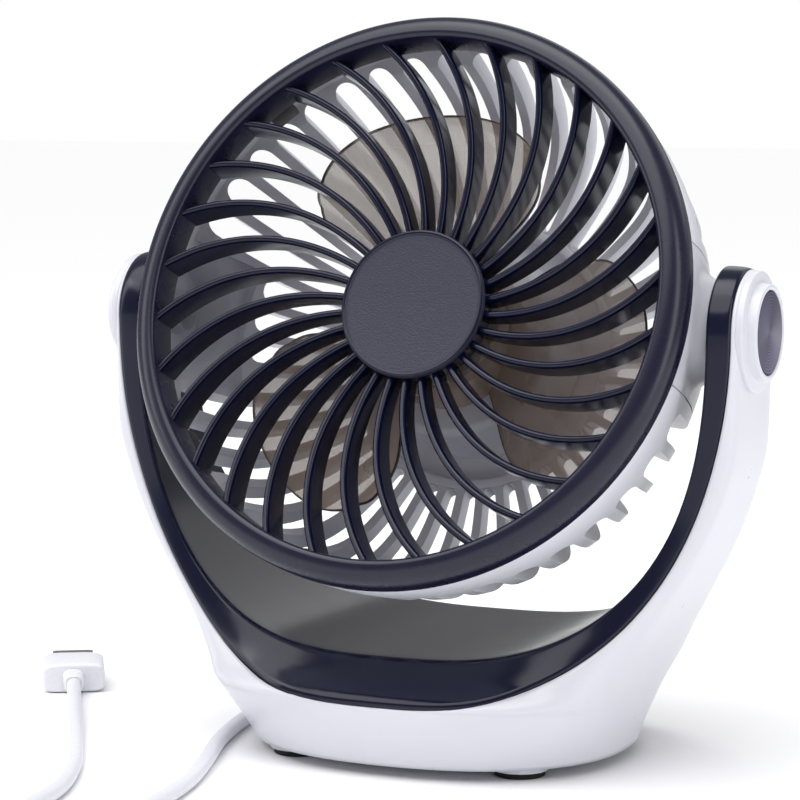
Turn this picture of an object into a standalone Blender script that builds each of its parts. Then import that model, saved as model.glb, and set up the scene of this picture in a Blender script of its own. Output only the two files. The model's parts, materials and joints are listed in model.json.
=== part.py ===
"""Desk fan: a round head that turns between the arms of a U-shaped stand, on a USB lead.

The origin is on the floor at the middle of the fan's outline, a little behind the pivot axis.
+Z is up, -Y is the front and the pivot axis runs along X. The head is built in its own frame:
its Z is the blade axis and points out through the grille, its X is the pivot axis and its
origin is on both.
"""

import math

import bmesh
import bpy
from mathutils import Matrix, Vector

MM = 0.001
GAP = 0.3 * MM  # clearance between pieces that touch

# Stand, its Y measured from the pivot axis
SETBACK = 8.3 * MM  # pivot axis to the middle of the fan's depth
PIVOT_HEIGHT = 112.7 * MM
STAND_WALL = 2.3 * MM
ARM_HALF_WIDTH = 86.5 * MM  # outer face of an arm at the pivot
ARM_TIP_RADIUS = 16.3 * MM
ARM_POWERS = (40.0, 12.0)  # how square the plan outline of an arm is, along X and Y
TRAY_HALF_WIDTH = 78.2 * MM  # inner faces of the arms
TRAY_DEPTH = 83.0 * MM  # pivot axis down to the tray
TRAY_WALL = 2.2 * MM
TRAY_POWERS = (2.9, 2.4)
SEAM_HALF_WIDTH = 84.4 * MM  # where the liner's rim meets the shell
SEAM_DEPTH = 93.5 * MM
SEAM_POWERS = (2.7, 1.95)
# Outline at each height: height, half width, front, rear, powers of the superellipse
STAND_STATIONS = (
    (3.0 * MM, 50.5 * MM, 35.0 * MM, 51.0 * MM, (2.3, 2.3)),
    (7.0 * MM, 51.6 * MM, 37.5 * MM, 52.8 * MM, (2.4, 2.4)),
    (12.5 * MM, 53.3 * MM, 39.6 * MM, 54.0 * MM, (2.7, 2.7)),
    (19.5 * MM, 55.6 * MM, 40.6 * MM, 54.0 * MM, (3.4, 3.4)),
    (25.5 * MM, 57.8 * MM, 33.5 * MM, 50.5 * MM, (4.8, 4.8)),
    (32.5 * MM, 60.8 * MM, 27.5 * MM, 44.5 * MM, (7.0, 7.0)),
    (43.0 * MM, 67.2 * MM, 21.5 * MM, 34.0 * MM, (14.0, 10.0)),
    (55.0 * MM, 74.7 * MM, 18.3 * MM, 25.0 * MM, (26.0, 12.0)),
    (70.0 * MM, 81.8 * MM, 16.6 * MM, 18.6 * MM, ARM_POWERS),
    (85.0 * MM, 85.8 * MM, 16.3 * MM, 16.5 * MM, ARM_POWERS),
)
TIP_ANGLES = (0.0, 28.0, 52.0, 76.0)
RING_POINTS = 28

# Base
PLATE_THICKNESS = 2.0 * MM
FOOT_X = 31.0 * MM
FOOT_FRONT_Y = -17.5 * MM
FOOT_REAR_Y = 33.0 * MM
FOOT_RADIUS = 6.5 * MM
FOOT_THICKNESS = 1.3 * MM
FOOT_BOSS_RADIUS = 7.4 * MM
SCREW_SHANK_RADIUS = 1.0 * MM
SCREW_HEAD_RADIUS = 2.6 * MM
SCREW_HEAD_HEIGHT = 0.9 * MM
BASE_SCREW_SPOTS = ((-19.0, -14.0), (19.0, -14.0), (-21.0, 30.0), (21.0, 30.0))
POST_RADIUS = 3.2 * MM
POST_BOTTOM = 6.0 * MM
BOARD_SIZE = (34.0 * MM, 26.0 * MM, 1.6 * MM)
BOARD_CENTRE = (0.0, 14.0 * MM)
BOARD_HEIGHT = 9.5 * MM
STANDOFF_RADIUS = 2.0 * MM

# Speed control and strain relief, both on the rear wall
CONTROL_HEIGHT = 12.0 * MM
KNOB_X = 18.0 * MM
KNOB_RADIUS = 8.0 * MM
KNOB_DEPTH = 6.5 * MM
KNOB_SHAFT_RADIUS = 3.0 * MM
SWITCH_SIZE = (14.0 * MM, 7.0 * MM, 9.0 * MM)
GLAND_X = -20.0 * MM
GLAND_STEM_RADIUS = 3.2 * MM
GLAND_COLLAR_RADIUS = 4.6 * MM
GLAND_TAIL = 12.0 * MM  # length outside the wall

# Pivots, measured along X from the middle of the fan
BOSS_RADIUS = 15.2 * MM
BOSS_SEAT = 85.2 * MM
BOSS_FLANGE_FACE = 87.3 * MM
BOSS_RING_RADIUS = 12.0 * MM
BOSS_FACE = 89.9 * MM
CAP_RADIUS = 10.3 * MM
CAP_THICKNESS = 1.1 * MM
TAB_SIZE = (2.8 * MM, 2.4 * MM)
SPIGOT_RADIUS = 6.0 * MM
SPIGOT_END = 83.4 * MM
NECK_RADIUS = 12.0 * MM
NECK_CLEARANCE = 0.8 * MM  # neck face to the arm
PIVOT_SHANK_RADIUS = 1.9 * MM
PIVOT_HEAD_RADIUS = 4.6 * MM
PIVOT_HEAD_HEIGHT = 0.8 * MM
WASHER_RADIUS = 5.6 * MM

# Head, heights measured forwards from the pivot axis along the blade axis
HEAD_TILT = 20.5  # degrees the head leans back at rest
RING_RADIUS = 75.0 * MM
RING_BACK = 18.4 * MM
RING_APEX_RADIUS = 69.9 * MM
RING_APEX = 26.2 * MM
RING_BORE = 68.3 * MM
SKIRT_BACK = 15.6 * MM
SKIRT_WALL = 1.8 * MM
RIB_COUNT = 30
RIB_WIDTH = 2.3 * MM
RIB_FRONT_SHARE = 0.6  # width of a rib's front edge against its back
RIB_SWEEP = 24.0
RIB_PHASE = 6.9
RIB_FRONT = (14.4 * MM, 24.0 * MM)  # front edge at the hub and at the ring
RIB_BACK = (8.6 * MM, 15.1 * MM)
RIB_STATIONS = 6
HUB_RADIUS = 18.8 * MM
HUB_BACK = 8.0 * MM
HUB_FRONT = 14.4 * MM
HUB_WALL = 1.6 * MM
HUB_CAP_RADIUS = 19.5 * MM
HUB_CAP_THICKNESS = 1.5 * MM
LUG_ANGLES = (38.0, 132.0, 214.0, 312.0)

SHELL_RADIUS = 74.2 * MM
SHELL_WALL = 2.2 * MM
SLOT_START = 7.0 * MM
SLOT_COUNT = 44
FIN_WIDTH = (3.4 * MM, 2.3 * MM)  # at the band and at the rear disc
FIN_DEPTH = 4.4 * MM
# Rear shell outline behind the band: height, radius
SHELL_OUTLINE = (
    (8.4 * MM, 73.9 * MM),
    (-6.0 * MM, 72.4 * MM),
    (-17.0 * MM, 69.1 * MM),
    (-26.0 * MM, 63.9 * MM),
    (-32.6 * MM, 55.0 * MM),
    (-37.4 * MM, 37.0 * MM),
)
DISC_RADIUS = 38.0 * MM
DISC_BACK = -38.3 * MM
POD_ANGLE = 14.3
POD_BACK = -19.6 * MM
BRIDGE_BACK = -23.4 * MM

# Impeller and motor
BLADE_COUNT = 3
BLADE_TIP = 58.0 * MM
BLADE_PHASE = 103.5
BLADE_FRONT = 2.5 * MM
BLADE_BACK = -11.5 * MM
BLADE_THICKNESS = 1.4 * MM
SPINNER_RADIUS = 20.5 * MM
SPINNER_FRONT = 5.6 * MM
SPINNER_BACK = -12.5 * MM
SPINNER_WALL = 1.6 * MM
SHAFT_RADIUS = 1.0 * MM
SHAFT_FRONT = 3.0 * MM
HOUSING_RADIUS = 27.0 * MM
HOUSING_FRONT = -14.5 * MM
HOUSING_WALL = 1.8 * MM
CAN_RADIUS = 12.5 * MM
CAN_WALL = 0.8 * MM
CAN_BACK = -31.0 * MM
MAGNET_THICKNESS = 1.8 * MM
ARMATURE_RADIUS = 8.9 * MM
COMMUTATOR_RADIUS = 2.6 * MM
BUSH_RADIUS = 3.0 * MM
END_CAP_THICKNESS = 2.4 * MM
MOTOR_SCREW_OFFSET = 8.0 * MM
HOUSING_SCREW_OFFSET = 20.0 * MM

# USB lead
CABLE_RADIUS = 2.0 * MM
COIL_CENTRE = (-46.0 * MM, 112.0 * MM)
COIL_RADII = (16.0 * MM, 28.0 * MM)
COIL_HEIGHT = 8.4 * MM
LEAD_ROUTE = (
    (-20.0, 66.3, 12.0), (-20.0, 71.0, 11.6), (-20.0, 77.0, 9.6),
    (-20.0, 83.0, 6.4), (-20.0, 89.0, 3.6), (-20.0, 96.9, 2.2),
)
RUN_ROUTE = (
    (-72.0, 96.9, 4.6), (-71.8, 88.0, 3.0), (-70.8, 78.0, 2.2), (-67.5, 60.0, 2.15),
    (-63.0, 40.0, 2.15), (-59.5, 20.0, 2.15), (-57.0, 0.0, 2.15), (-52.0, -22.0, 2.15),
    (-44.5, -44.0, 2.15), (-38.0, -66.0, 2.15), (-35.0, -88.0, 2.15), (-34.5, -105.0, 2.15),
    (-39.0, -118.0, 2.15), (-49.0, -123.5, 2.15), (-58.5, -116.5, 2.15),
    (-61.0, -103.0, 2.15), (-64.0, -84.0, 2.15), (-72.5, -62.5, 2.15), (-85.0, -40.0, 2.2),
    (-98.0, -18.0, 2.9), (-108.5, -0.3, 4.0), (-117.35, 14.74, 4.3),
)
PLUG_START = (-117.5 * MM, 15.0 * MM)
PLUG_TURN = 30.5  # degrees from +Y towards -X
PLUG_AXIS_Z = 4.3 * MM
NECK_LENGTH = 8.3 * MM
GRIP_SIZE = (17.7 * MM, 18.6 * MM, 8.4 * MM)
PLUG_SHELL_SIZE = (12.0 * MM, 12.0 * MM, 4.5 * MM)
PLUG_SHELL_WALL = 0.45 * MM
TONGUE_SIZE = (10.2 * MM, 10.4 * MM, 1.6 * MM)
CONTACT_SIZE = (1.1 * MM, 7.2 * MM, 0.25 * MM)
CONTACT_PITCH = 2.4 * MM
WINDOW_SIZE = 2.2 * MM
WINDOW_OFFSET = 3.3 * MM


# ---------------------------------------------------------------- scene and helpers

def clear_scene():
    for old in list(bpy.data.objects):
        bpy.data.objects.remove(old, do_unlink=True)


def finish(name, colour, roughness, metallic=0.0, alpha=1.0):
    material = bpy.data.materials.new(name)
    material.use_nodes = True
    shader = material.node_tree.nodes["Principled BSDF"]
    shader.inputs["Base Color"].default_value = (*colour, 1.0)
    shader.inputs["Roughness"].default_value = roughness
    shader.inputs["Metallic"].default_value = metallic
    shader.inputs["Alpha"].default_value = alpha
    material.diffuse_color = (*colour, alpha)
    return material


def empty(name, location, parent=None, rotation=(0.0, 0.0, 0.0)):
    node = bpy.data.objects.new(name, None)
    node.location = location
    node.rotation_euler = rotation
    node.parent = parent
    bpy.context.collection.objects.link(node)
    return node


def piece(name, bm, material, parent=None, matrix=None):
    """Close a bmesh into a named object, with its faces pointing outwards."""
    bmesh.ops.recalc_face_normals(bm, faces=bm.faces)
    mesh = bpy.data.meshes.new(name)
    bm.to_mesh(mesh)
    bm.free()
    mesh.shade_smooth()
    mesh.set_sharp_from_angle(angle=math.radians(30.0))
    mesh.materials.append(material)
    node = bpy.data.objects.new(name, mesh)
    node.parent = parent
    if matrix is not None:
        node.matrix_local = matrix
    bpy.context.collection.objects.link(node)
    return node


def cutter(name, bm, parent=None, matrix=None):
    node = piece(name, bm, CUTTER, parent, matrix)
    node.hide_render = True
    node.display_type = "WIRE"
    return node


def combine(node, tool, operation):
    step = node.modifiers.new(f"{operation.lower()}_{tool.name}", "BOOLEAN")
    step.operation = operation
    step.object = tool
    step.solver = "EXACT"


def loft(rings):
    """Skin closed rings of equal length and cap both ends."""
    bm = bmesh.new()
    rows = [[bm.verts.new(point) for point in ring] for ring in rings]
    count = len(rows[0])
    for low, high in zip(rows, rows[1:]):
        for i in range(count):
            j = (i + 1) % count
            bm.faces.new((low[i], low[j], high[j], high[i]))
    bm.faces.new(list(reversed(rows[0])))
    bm.faces.new(rows[-1])
    return bm


def lathe(profile, steps=32):
    """Turn a closed (radius, height) profile about Z."""
    bm = bmesh.new()
    columns = []
    for radius, height in profile:
        if radius < 1e-9:
            pole = bm.verts.new((0.0, 0.0, height))
            columns.append([pole] * steps)
            continue
        turns = [2.0 * math.pi * i / steps for i in range(steps)]
        columns.append([bm.verts.new((radius * math.cos(a), radius * math.sin(a), height))
                        for a in turns])
    for index, here in enumerate(columns):
        there = columns[(index + 1) % len(columns)]
        for i in range(steps):
            j = (i + 1) % steps
            corners = []
            for corner in (here[i], here[j], there[j], there[i]):
                if corner not in corners:
                    corners.append(corner)
            if len(corners) > 2:
                bm.faces.new(corners)
    return bm


def rod(radius, low, high, steps=12, place=(0.0, 0.0)):
    """A plain cylinder along Z."""
    bm = lathe(((0.0, low), (radius, low), (radius, high), (0.0, high)), steps)
    bmesh.ops.translate(bm, vec=(*place, 0.0), verts=bm.verts)
    return bm


def block(size, centre=(0.0, 0.0, 0.0), bevel=0.0):
    bm = bmesh.new()
    bmesh.ops.create_cube(bm, size=1.0)
    bmesh.ops.scale(bm, vec=size, verts=bm.verts)
    if bevel:
        bmesh.ops.bevel(bm, geom=bm.edges[:], offset=bevel, segments=2, profile=0.5,
                        affect="EDGES")
    bmesh.ops.translate(bm, vec=centre, verts=bm.verts)
    return bm


def merge(target, source):
    """Add the geometry of one bmesh to another, as a separate body."""
    spare = bpy.data.meshes.new("spare")
    bmesh.ops.recalc_face_normals(source, faces=source.faces)
    source.to_mesh(spare)
    source.free()
    target.from_mesh(spare)
    bpy.data.meshes.remove(spare)
    return target


def superellipse(half_x, half_y, power_x, power_y, turn):
    c = math.cos(turn)
    s = math.sin(turn)
    return (math.copysign(half_x * abs(c) ** (2.0 / power_x), c),
            math.copysign(half_y * abs(s) ** (2.0 / power_y), s))


def along_x(side):
    """Place a lathe so that its axis runs outwards along X, at the pivot height."""
    turn = Matrix.Rotation(math.radians(90.0 * side), 4, "Y")
    return Matrix.Translation((0.0, 0.0, PIVOT_HEIGHT)) @ turn


def along_y(x, height):
    return Matrix.Translation((x, 0.0, height)) @ Matrix.Rotation(math.radians(-90.0), 4, "X")


def screw(name, head_radius, shank_radius, head_height, length, parent, matrix):
    """A pan-head screw: its head's underside is at 0 and its shank runs along +Z."""
    profile = (
        (0.0, -head_height), (head_radius - 0.5 * MM, -head_height),
        (head_radius, 0.5 * MM - head_height), (head_radius, 0.0), (shank_radius, 0.0),
        (shank_radius, length), (0.0, length),
    )
    return piece(name, lathe(profile, 10), STEEL, parent, matrix)


# ---------------------------------------------------------------- stand

def plan_ring(height, half_width, front, rear, powers):
    middle = (rear - front) / 2.0
    half_depth = (rear + front) / 2.0
    ring = []
    for i in range(RING_POINTS):
        turn = 2.0 * math.pi * (i + 0.5) / RING_POINTS
        x, y = superellipse(half_width, half_depth, *powers, turn)
        ring.append(Vector((x, y + middle, height)))
    return ring


def stand_form(inset, bottom=None, widen=0.0):
    """The stand's whole outer form, or the same form a wall's thickness further in.

    It can also be wider along X than that, to hollow a piece out to an open side.
    """
    rings = []
    for height, half_width, front, rear, powers in STAND_STATIONS:
        if bottom is not None and not rings:
            height = bottom
        rings.append(plan_ring(height, half_width - inset + widen, front - inset,
                               rear - inset, powers))
    radius = ARM_TIP_RADIUS - inset
    for angle in TIP_ANGLES:
        rise = radius * math.sin(math.radians(angle))
        half_depth = radius * math.cos(math.radians(angle))
        rings.append(plan_ring(PIVOT_HEIGHT + rise, ARM_HALF_WIDTH - inset + widen, half_depth,
                               half_depth, ARM_POWERS))
    return loft(rings)


def yoke_prism(half_width, depth, powers):
    """A prism along Y, open space between the arms, down to a U-shaped floor."""
    reach = 90.0 * MM
    steps = 24
    outline = [(-half_width, PIVOT_HEIGHT + 2.0 * ARM_TIP_RADIUS)]
    for i in range(steps + 1):
        turn = math.pi + math.pi * i / steps
        x, z = superellipse(half_width, depth, *powers, turn)
        outline.append((x, PIVOT_HEIGHT + z))
    outline.append((half_width, PIVOT_HEIGHT + 2.0 * ARM_TIP_RADIUS))
    return loft([[Vector((x, y, z)) for x, z in outline] for y in (-reach, reach)])


def rear_wall(x, inset=0.0, height=CONTROL_HEIGHT):
    """Y of the rear wall's outer face at x, or of a face further in."""
    for low, high in zip(STAND_STATIONS, STAND_STATIONS[1:]):
        if low[0] <= height <= high[0]:
            share = (height - low[0]) / (high[0] - low[0])
            half, front, rear = (a + (b - a) * share for a, b in zip(low[1:4], high[1:4]))
            power = low[4][0] + (high[4][0] - low[4][0]) * share
            depth = (front + rear) / 2.0 - inset
            curve = (1.0 - abs(x / (half - inset)) ** power) ** (1.0 / power)
            return (rear - front) / 2.0 + depth * curve
    return STAND_STATIONS[0][3] - inset


def rear_hole(name, x, radius):
    hole = rod(radius, rear_wall(x) - 14.0 * MM, rear_wall(x) + 16.0 * MM, 20)
    return cutter(name, hole, STAND, along_y(x, CONTROL_HEIGHT))


def pivot_cutter(name, profile):
    """The same turned cut on both sides, along the pivot axis."""
    both = bmesh.new()
    for side, _ in SIDES:
        turned = lathe(profile, 28)
        bmesh.ops.transform(turned, matrix=along_x(side), verts=turned.verts)
        merge(both, turned)
    return cutter(name, both, STAND)


def make_stand():
    inset_form = cutter("inset_form", stand_form(STAND_WALL, bottom=-5.0 * MM), STAND)
    seam_inner = cutter("seam_inner", yoke_prism(SEAM_HALF_WIDTH, SEAM_DEPTH, SEAM_POWERS), STAND)
    seam_outer = cutter("seam_outer", yoke_prism(SEAM_HALF_WIDTH + GAP, SEAM_DEPTH + GAP,
                                                 SEAM_POWERS), STAND)
    tray_top = cutter("tray_top", yoke_prism(TRAY_HALF_WIDTH, TRAY_DEPTH, TRAY_POWERS), STAND)
    tray_under = cutter("tray_under", yoke_prism(TRAY_HALF_WIDTH + TRAY_WALL,
                                                 TRAY_DEPTH + TRAY_WALL, TRAY_POWERS), STAND)
    open_sided = stand_form(STAND_WALL, bottom=-5.0 * MM, widen=2.0 * STAND_WALL)
    liner_hollow = cutter("liner_hollow", open_sided, STAND)
    combine(liner_hollow, tray_under, "DIFFERENCE")

    shell = piece("stand_shell", stand_form(0.0), WHITE_PLASTIC, STAND)
    combine(shell, seam_outer, "DIFFERENCE")
    combine(shell, inset_form, "DIFFERENCE")
    combine(shell, rear_hole("knob_hole", KNOB_X, KNOB_SHAFT_RADIUS + 2.0 * GAP), "DIFFERENCE")
    combine(shell, rear_hole("gland_hole", GLAND_X, GLAND_STEM_RADIUS + GAP), "DIFFERENCE")

    liner = piece("stand_liner", stand_form(0.0), NAVY_PLASTIC, STAND)
    combine(liner, seam_inner, "INTERSECT")
    combine(liner, tray_top, "DIFFERENCE")
    combine(liner, liner_hollow, "DIFFERENCE")
    combine(liner, liner_posts(), "UNION")
    combine(liner, post_bores(), "DIFFERENCE")

    clear = 20.0 * MM
    hole = PIVOT_SHANK_RADIUS + 3.0 * GAP
    seat = ((0.0, TRAY_HALF_WIDTH), (hole, TRAY_HALF_WIDTH), (hole, BOSS_SEAT),
            (BOSS_RADIUS + GAP, BOSS_SEAT), (BOSS_RADIUS + GAP, BOSS_SEAT + clear),
            (0.0, BOSS_SEAT + clear))
    combine(shell, pivot_cutter("boss_seats", seat), "DIFFERENCE")
    bore = ((0.0, TRAY_HALF_WIDTH - 5.0 * MM), (SPIGOT_RADIUS + GAP, TRAY_HALF_WIDTH - 5.0 * MM),
            (SPIGOT_RADIUS + GAP, TRAY_HALF_WIDTH + 5.0 * MM), (0.0, TRAY_HALF_WIDTH + 5.0 * MM))
    combine(liner, pivot_cutter("spigot_bores", bore), "DIFFERENCE")


def liner_posts():
    """Four screw posts under the tray, drilled from below."""
    bm = bmesh.new()
    top = PIVOT_HEIGHT - TRAY_DEPTH - TRAY_WALL / 2.0
    for x, y in BASE_SCREW_SPOTS:
        merge(bm, rod(POST_RADIUS, POST_BOTTOM, top, 12, (x * MM, y * MM)))
    return cutter("liner_posts", bm, STAND)


def post_bores():
    """The drillings of the four posts, open at the bottom."""
    bm = bmesh.new()
    for x, y in BASE_SCREW_SPOTS:
        merge(bm, rod(SCREW_SHANK_RADIUS + GAP, POST_BOTTOM - 5.0 * MM, POST_BOTTOM + 12.0 * MM,
                      10, (x * MM, y * MM)))
    return cutter("post_bores", bm, STAND)


def foot_spots():
    return [("front_left", -FOOT_X, FOOT_FRONT_Y), ("front_right", FOOT_X, FOOT_FRONT_Y),
            ("rear_left", -FOOT_X, FOOT_REAR_Y), ("rear_right", FOOT_X, FOOT_REAR_Y)]


def make_base():
    height, half_width, front, rear, powers = STAND_STATIONS[0]
    inset = STAND_WALL + GAP
    floor = height + GAP
    rings = [plan_ring(z, half_width - inset, front - inset, rear - inset, powers)
             for z in (floor, floor + PLATE_THICKNESS)]
    plate = piece("base_plate", loft(rings), WHITE_PLASTIC, STAND)
    extras = bmesh.new()
    foot_top = FOOT_THICKNESS + GAP
    for _, x, y in foot_spots():
        merge(extras, rod(FOOT_BOSS_RADIUS, foot_top, floor + PLATE_THICKNESS / 2.0, 16, (x, y)))
    board_x = BOARD_SIZE[0] / 2.0 - 3.0 * MM
    board_y = BOARD_SIZE[1] / 2.0 - 3.0 * MM
    for sx in (-1.0, 1.0):
        for sy in (-1.0, 1.0):
            place = (BOARD_CENTRE[0] + sx * board_x, BOARD_CENTRE[1] + sy * board_y)
            merge(extras, rod(STANDOFF_RADIUS, floor + PLATE_THICKNESS / 2.0, BOARD_HEIGHT - GAP,
                              8, place))
    combine(plate, cutter("plate_bosses", extras, STAND), "UNION")
    holes = bmesh.new()
    for x, y in BASE_SCREW_SPOTS:
        merge(holes, rod(SCREW_SHANK_RADIUS + 2.0 * GAP, 0.0, 10.0 * MM, 10, (x * MM, y * MM)))
    combine(plate, cutter("plate_holes", holes, STAND), "DIFFERENCE")

    for word, x, y in foot_spots():
        pad = lathe(((0.0, 0.0), (FOOT_RADIUS - 0.4 * MM, 0.0), (FOOT_RADIUS, 0.4 * MM),
                     (FOOT_RADIUS, FOOT_THICKNESS), (0.0, FOOT_THICKNESS)), 18)
        piece(f"foot_{word}", pad, RUBBER, STAND, Matrix.Translation((x, y, 0.0)))
    for index, (x, y) in enumerate(BASE_SCREW_SPOTS, start=1):
        place = Matrix.Translation((x * MM, y * MM, floor - GAP))
        screw(f"base_screw_{index}", SCREW_HEAD_RADIUS, SCREW_SHANK_RADIUS, SCREW_HEAD_HEIGHT,
              12.0 * MM, STAND, place)
    board = block(BOARD_SIZE, (*BOARD_CENTRE, BOARD_HEIGHT + BOARD_SIZE[2] / 2.0))
    piece("control_board", board, BOARD_GREEN, STAND)


def make_controls():
    low = CONTROL_HEIGHT - SWITCH_SIZE[2] / 2.0
    switch_back = rear_wall(KNOB_X + SWITCH_SIZE[0] / 2.0, STAND_WALL, low) - 2.0 * GAP
    switch_y = switch_back - SWITCH_SIZE[1] / 2.0
    switch = piece("speed_switch", block(SWITCH_SIZE, (KNOB_X, switch_y, CONTROL_HEIGHT),
                                         0.4 * MM), BLACK_PLASTIC, STAND)
    shaft_start = switch_y
    wall = rear_wall(KNOB_X - KNOB_RADIUS)
    knob_front = wall + 2.0 * GAP
    knob_end = knob_front + KNOB_DEPTH
    bore = rod(KNOB_SHAFT_RADIUS + GAP, shaft_start - GAP, wall, 16)
    combine(switch, cutter("switch_bore", bore, STAND, along_y(KNOB_X, CONTROL_HEIGHT)),
            "DIFFERENCE")

    knob_pivot = empty("knob_axis", (KNOB_X, wall, CONTROL_HEIGHT), STAND)
    back = -wall
    place = Matrix.Rotation(math.radians(-90.0), 4, "X")
    shaft_end = knob_front + 3.5 * MM
    shaft = rod(KNOB_SHAFT_RADIUS, shaft_start + back, shaft_end + back, 16)
    piece("knob_shaft", shaft, STEEL, knob_pivot, place)
    socket = KNOB_SHAFT_RADIUS + GAP
    knob = lathe((
        (socket, knob_front + back), (KNOB_RADIUS, knob_front + back),
        (KNOB_RADIUS - 0.5 * MM, knob_end - 0.8 * MM + back),
        (KNOB_RADIUS - 1.3 * MM, knob_end + back), (0.0, knob_end + back),
        (0.0, shaft_end + GAP + back), (socket, shaft_end + GAP + back),
    ), 24)
    piece("speed_knob", knob, NAVY_PLASTIC, knob_pivot, place)

    hole = CABLE_RADIUS + GAP
    low = CONTROL_HEIGHT - GLAND_COLLAR_RADIUS
    inside = rear_wall(abs(GLAND_X) + GLAND_COLLAR_RADIUS, STAND_WALL, low) - GAP
    outside = rear_wall(abs(GLAND_X) - GLAND_COLLAR_RADIUS) + GAP
    tail = outside + GLAND_TAIL
    gland = lathe((
        (hole, inside - 1.6 * MM), (GLAND_COLLAR_RADIUS, inside - 1.6 * MM),
        (GLAND_COLLAR_RADIUS, inside), (GLAND_STEM_RADIUS, inside),
        (GLAND_STEM_RADIUS, outside), (GLAND_COLLAR_RADIUS, outside),
        (GLAND_COLLAR_RADIUS, outside + 1.5 * MM), (CABLE_RADIUS + 1.6 * MM, outside + 2.3 * MM),
        (CABLE_RADIUS + 0.9 * MM, tail), (hole, tail),
    ), 16)
    piece("cord_gland", gland, WHITE_PLASTIC, STAND, along_y(GLAND_X, CONTROL_HEIGHT))


def make_pivots():
    cap_seat = BOSS_FACE - CAP_THICKNESS - GAP
    floor_outer = BOSS_SEAT + GAP + 1.0 * MM
    hole = PIVOT_SHANK_RADIUS + 3.0 * GAP
    washer_top = floor_outer + GAP + 0.6 * MM
    for side, word in SIDES:
        boss = lathe((
            (hole, BOSS_SEAT + GAP), (BOSS_RADIUS, BOSS_SEAT + GAP),
            (BOSS_RADIUS, BOSS_FLANGE_FACE - 0.5 * MM), (BOSS_RADIUS - 0.5 * MM, BOSS_FLANGE_FACE),
            (BOSS_RING_RADIUS, BOSS_FLANGE_FACE), (BOSS_RING_RADIUS, BOSS_FACE - 0.5 * MM),
            (BOSS_RING_RADIUS - 0.5 * MM, BOSS_FACE), (CAP_RADIUS + GAP, BOSS_FACE),
            (CAP_RADIUS + GAP, cap_seat), (WASHER_RADIUS + GAP, cap_seat),
            (WASHER_RADIUS + GAP, floor_outer), (hole, floor_outer),
        ), 28)
        boss = piece(f"pivot_boss_{word}", boss, WHITE_PLASTIC, STAND, along_x(side))
        tab_centre = (0.0, -CAP_RADIUS, BOSS_FACE - CAP_THICKNESS / 2.0)
        notch = block((TAB_SIZE[0] + 2.0 * GAP, TAB_SIZE[1] + 2.0 * GAP,
                       CAP_THICKNESS * 2.0 + GAP), (0.0, -CAP_RADIUS, BOSS_FACE))
        combine(boss, cutter(f"cap_notch_{word}", notch, STAND, along_x(side)), "DIFFERENCE")
        top = BOSS_FACE - 0.1 * MM
        cap = lathe(((0.0, cap_seat + GAP), (CAP_RADIUS, cap_seat + GAP), (CAP_RADIUS, top - 0.2 * MM),
                     (CAP_RADIUS - 0.2 * MM, top), (0.0, top)), 28)
        cap = piece(f"pivot_cap_{word}", cap, DARK_METAL, STAND, along_x(side))
        tab = block((*TAB_SIZE, CAP_THICKNESS - GAP), tab_centre)
        combine(cap, cutter(f"cap_tab_{word}", tab, STAND, along_x(side)), "UNION")
        washer = lathe(((hole, floor_outer + GAP), (WASHER_RADIUS, floor_outer + GAP),
                        (WASHER_RADIUS, washer_top), (hole, washer_top)), 16)
        piece(f"pivot_washer_{word}", washer, BLACK_PLASTIC, STAND, along_x(side))


# ---------------------------------------------------------------- head

def rib_station(share):
    """Radius, angle and front and back height at a share of the way out along a rib."""
    start = HUB_RADIUS - HUB_WALL / 2.0
    end = RING_BORE + SKIRT_WALL / 2.0
    radius = start + (end - start) * share
    angle = math.radians(RIB_SWEEP) * share ** 1.5
    front = RIB_FRONT[0] + (RIB_FRONT[1] - RIB_FRONT[0]) * share
    back = RIB_BACK[0] + (RIB_BACK[1] - RIB_BACK[0]) * share
    return radius, angle, front, back


def rib(turn):
    centres = []
    for i in range(RIB_STATIONS):
        radius, angle, front, back = rib_station(i / (RIB_STATIONS - 1))
        angle += turn
        centres.append((Vector((radius * math.cos(angle), radius * math.sin(angle), 0.0)),
                        front, back))
    rings = []
    last = len(centres) - 1
    for i, (centre, front, back) in enumerate(centres):
        run = centres[min(i + 1, last)][0] - centres[max(i - 1, 0)][0]
        across = Vector((-run.y, run.x, 0.0)).normalized() * (RIB_WIDTH / 2.0)
        rings.append([
            centre - across + Vector((0.0, 0.0, back)),
            centre + across + Vector((0.0, 0.0, back)),
            centre + across * RIB_FRONT_SHARE + Vector((0.0, 0.0, front)),
            centre - across * RIB_FRONT_SHARE + Vector((0.0, 0.0, front)),
        ])
    return loft(rings)


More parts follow.
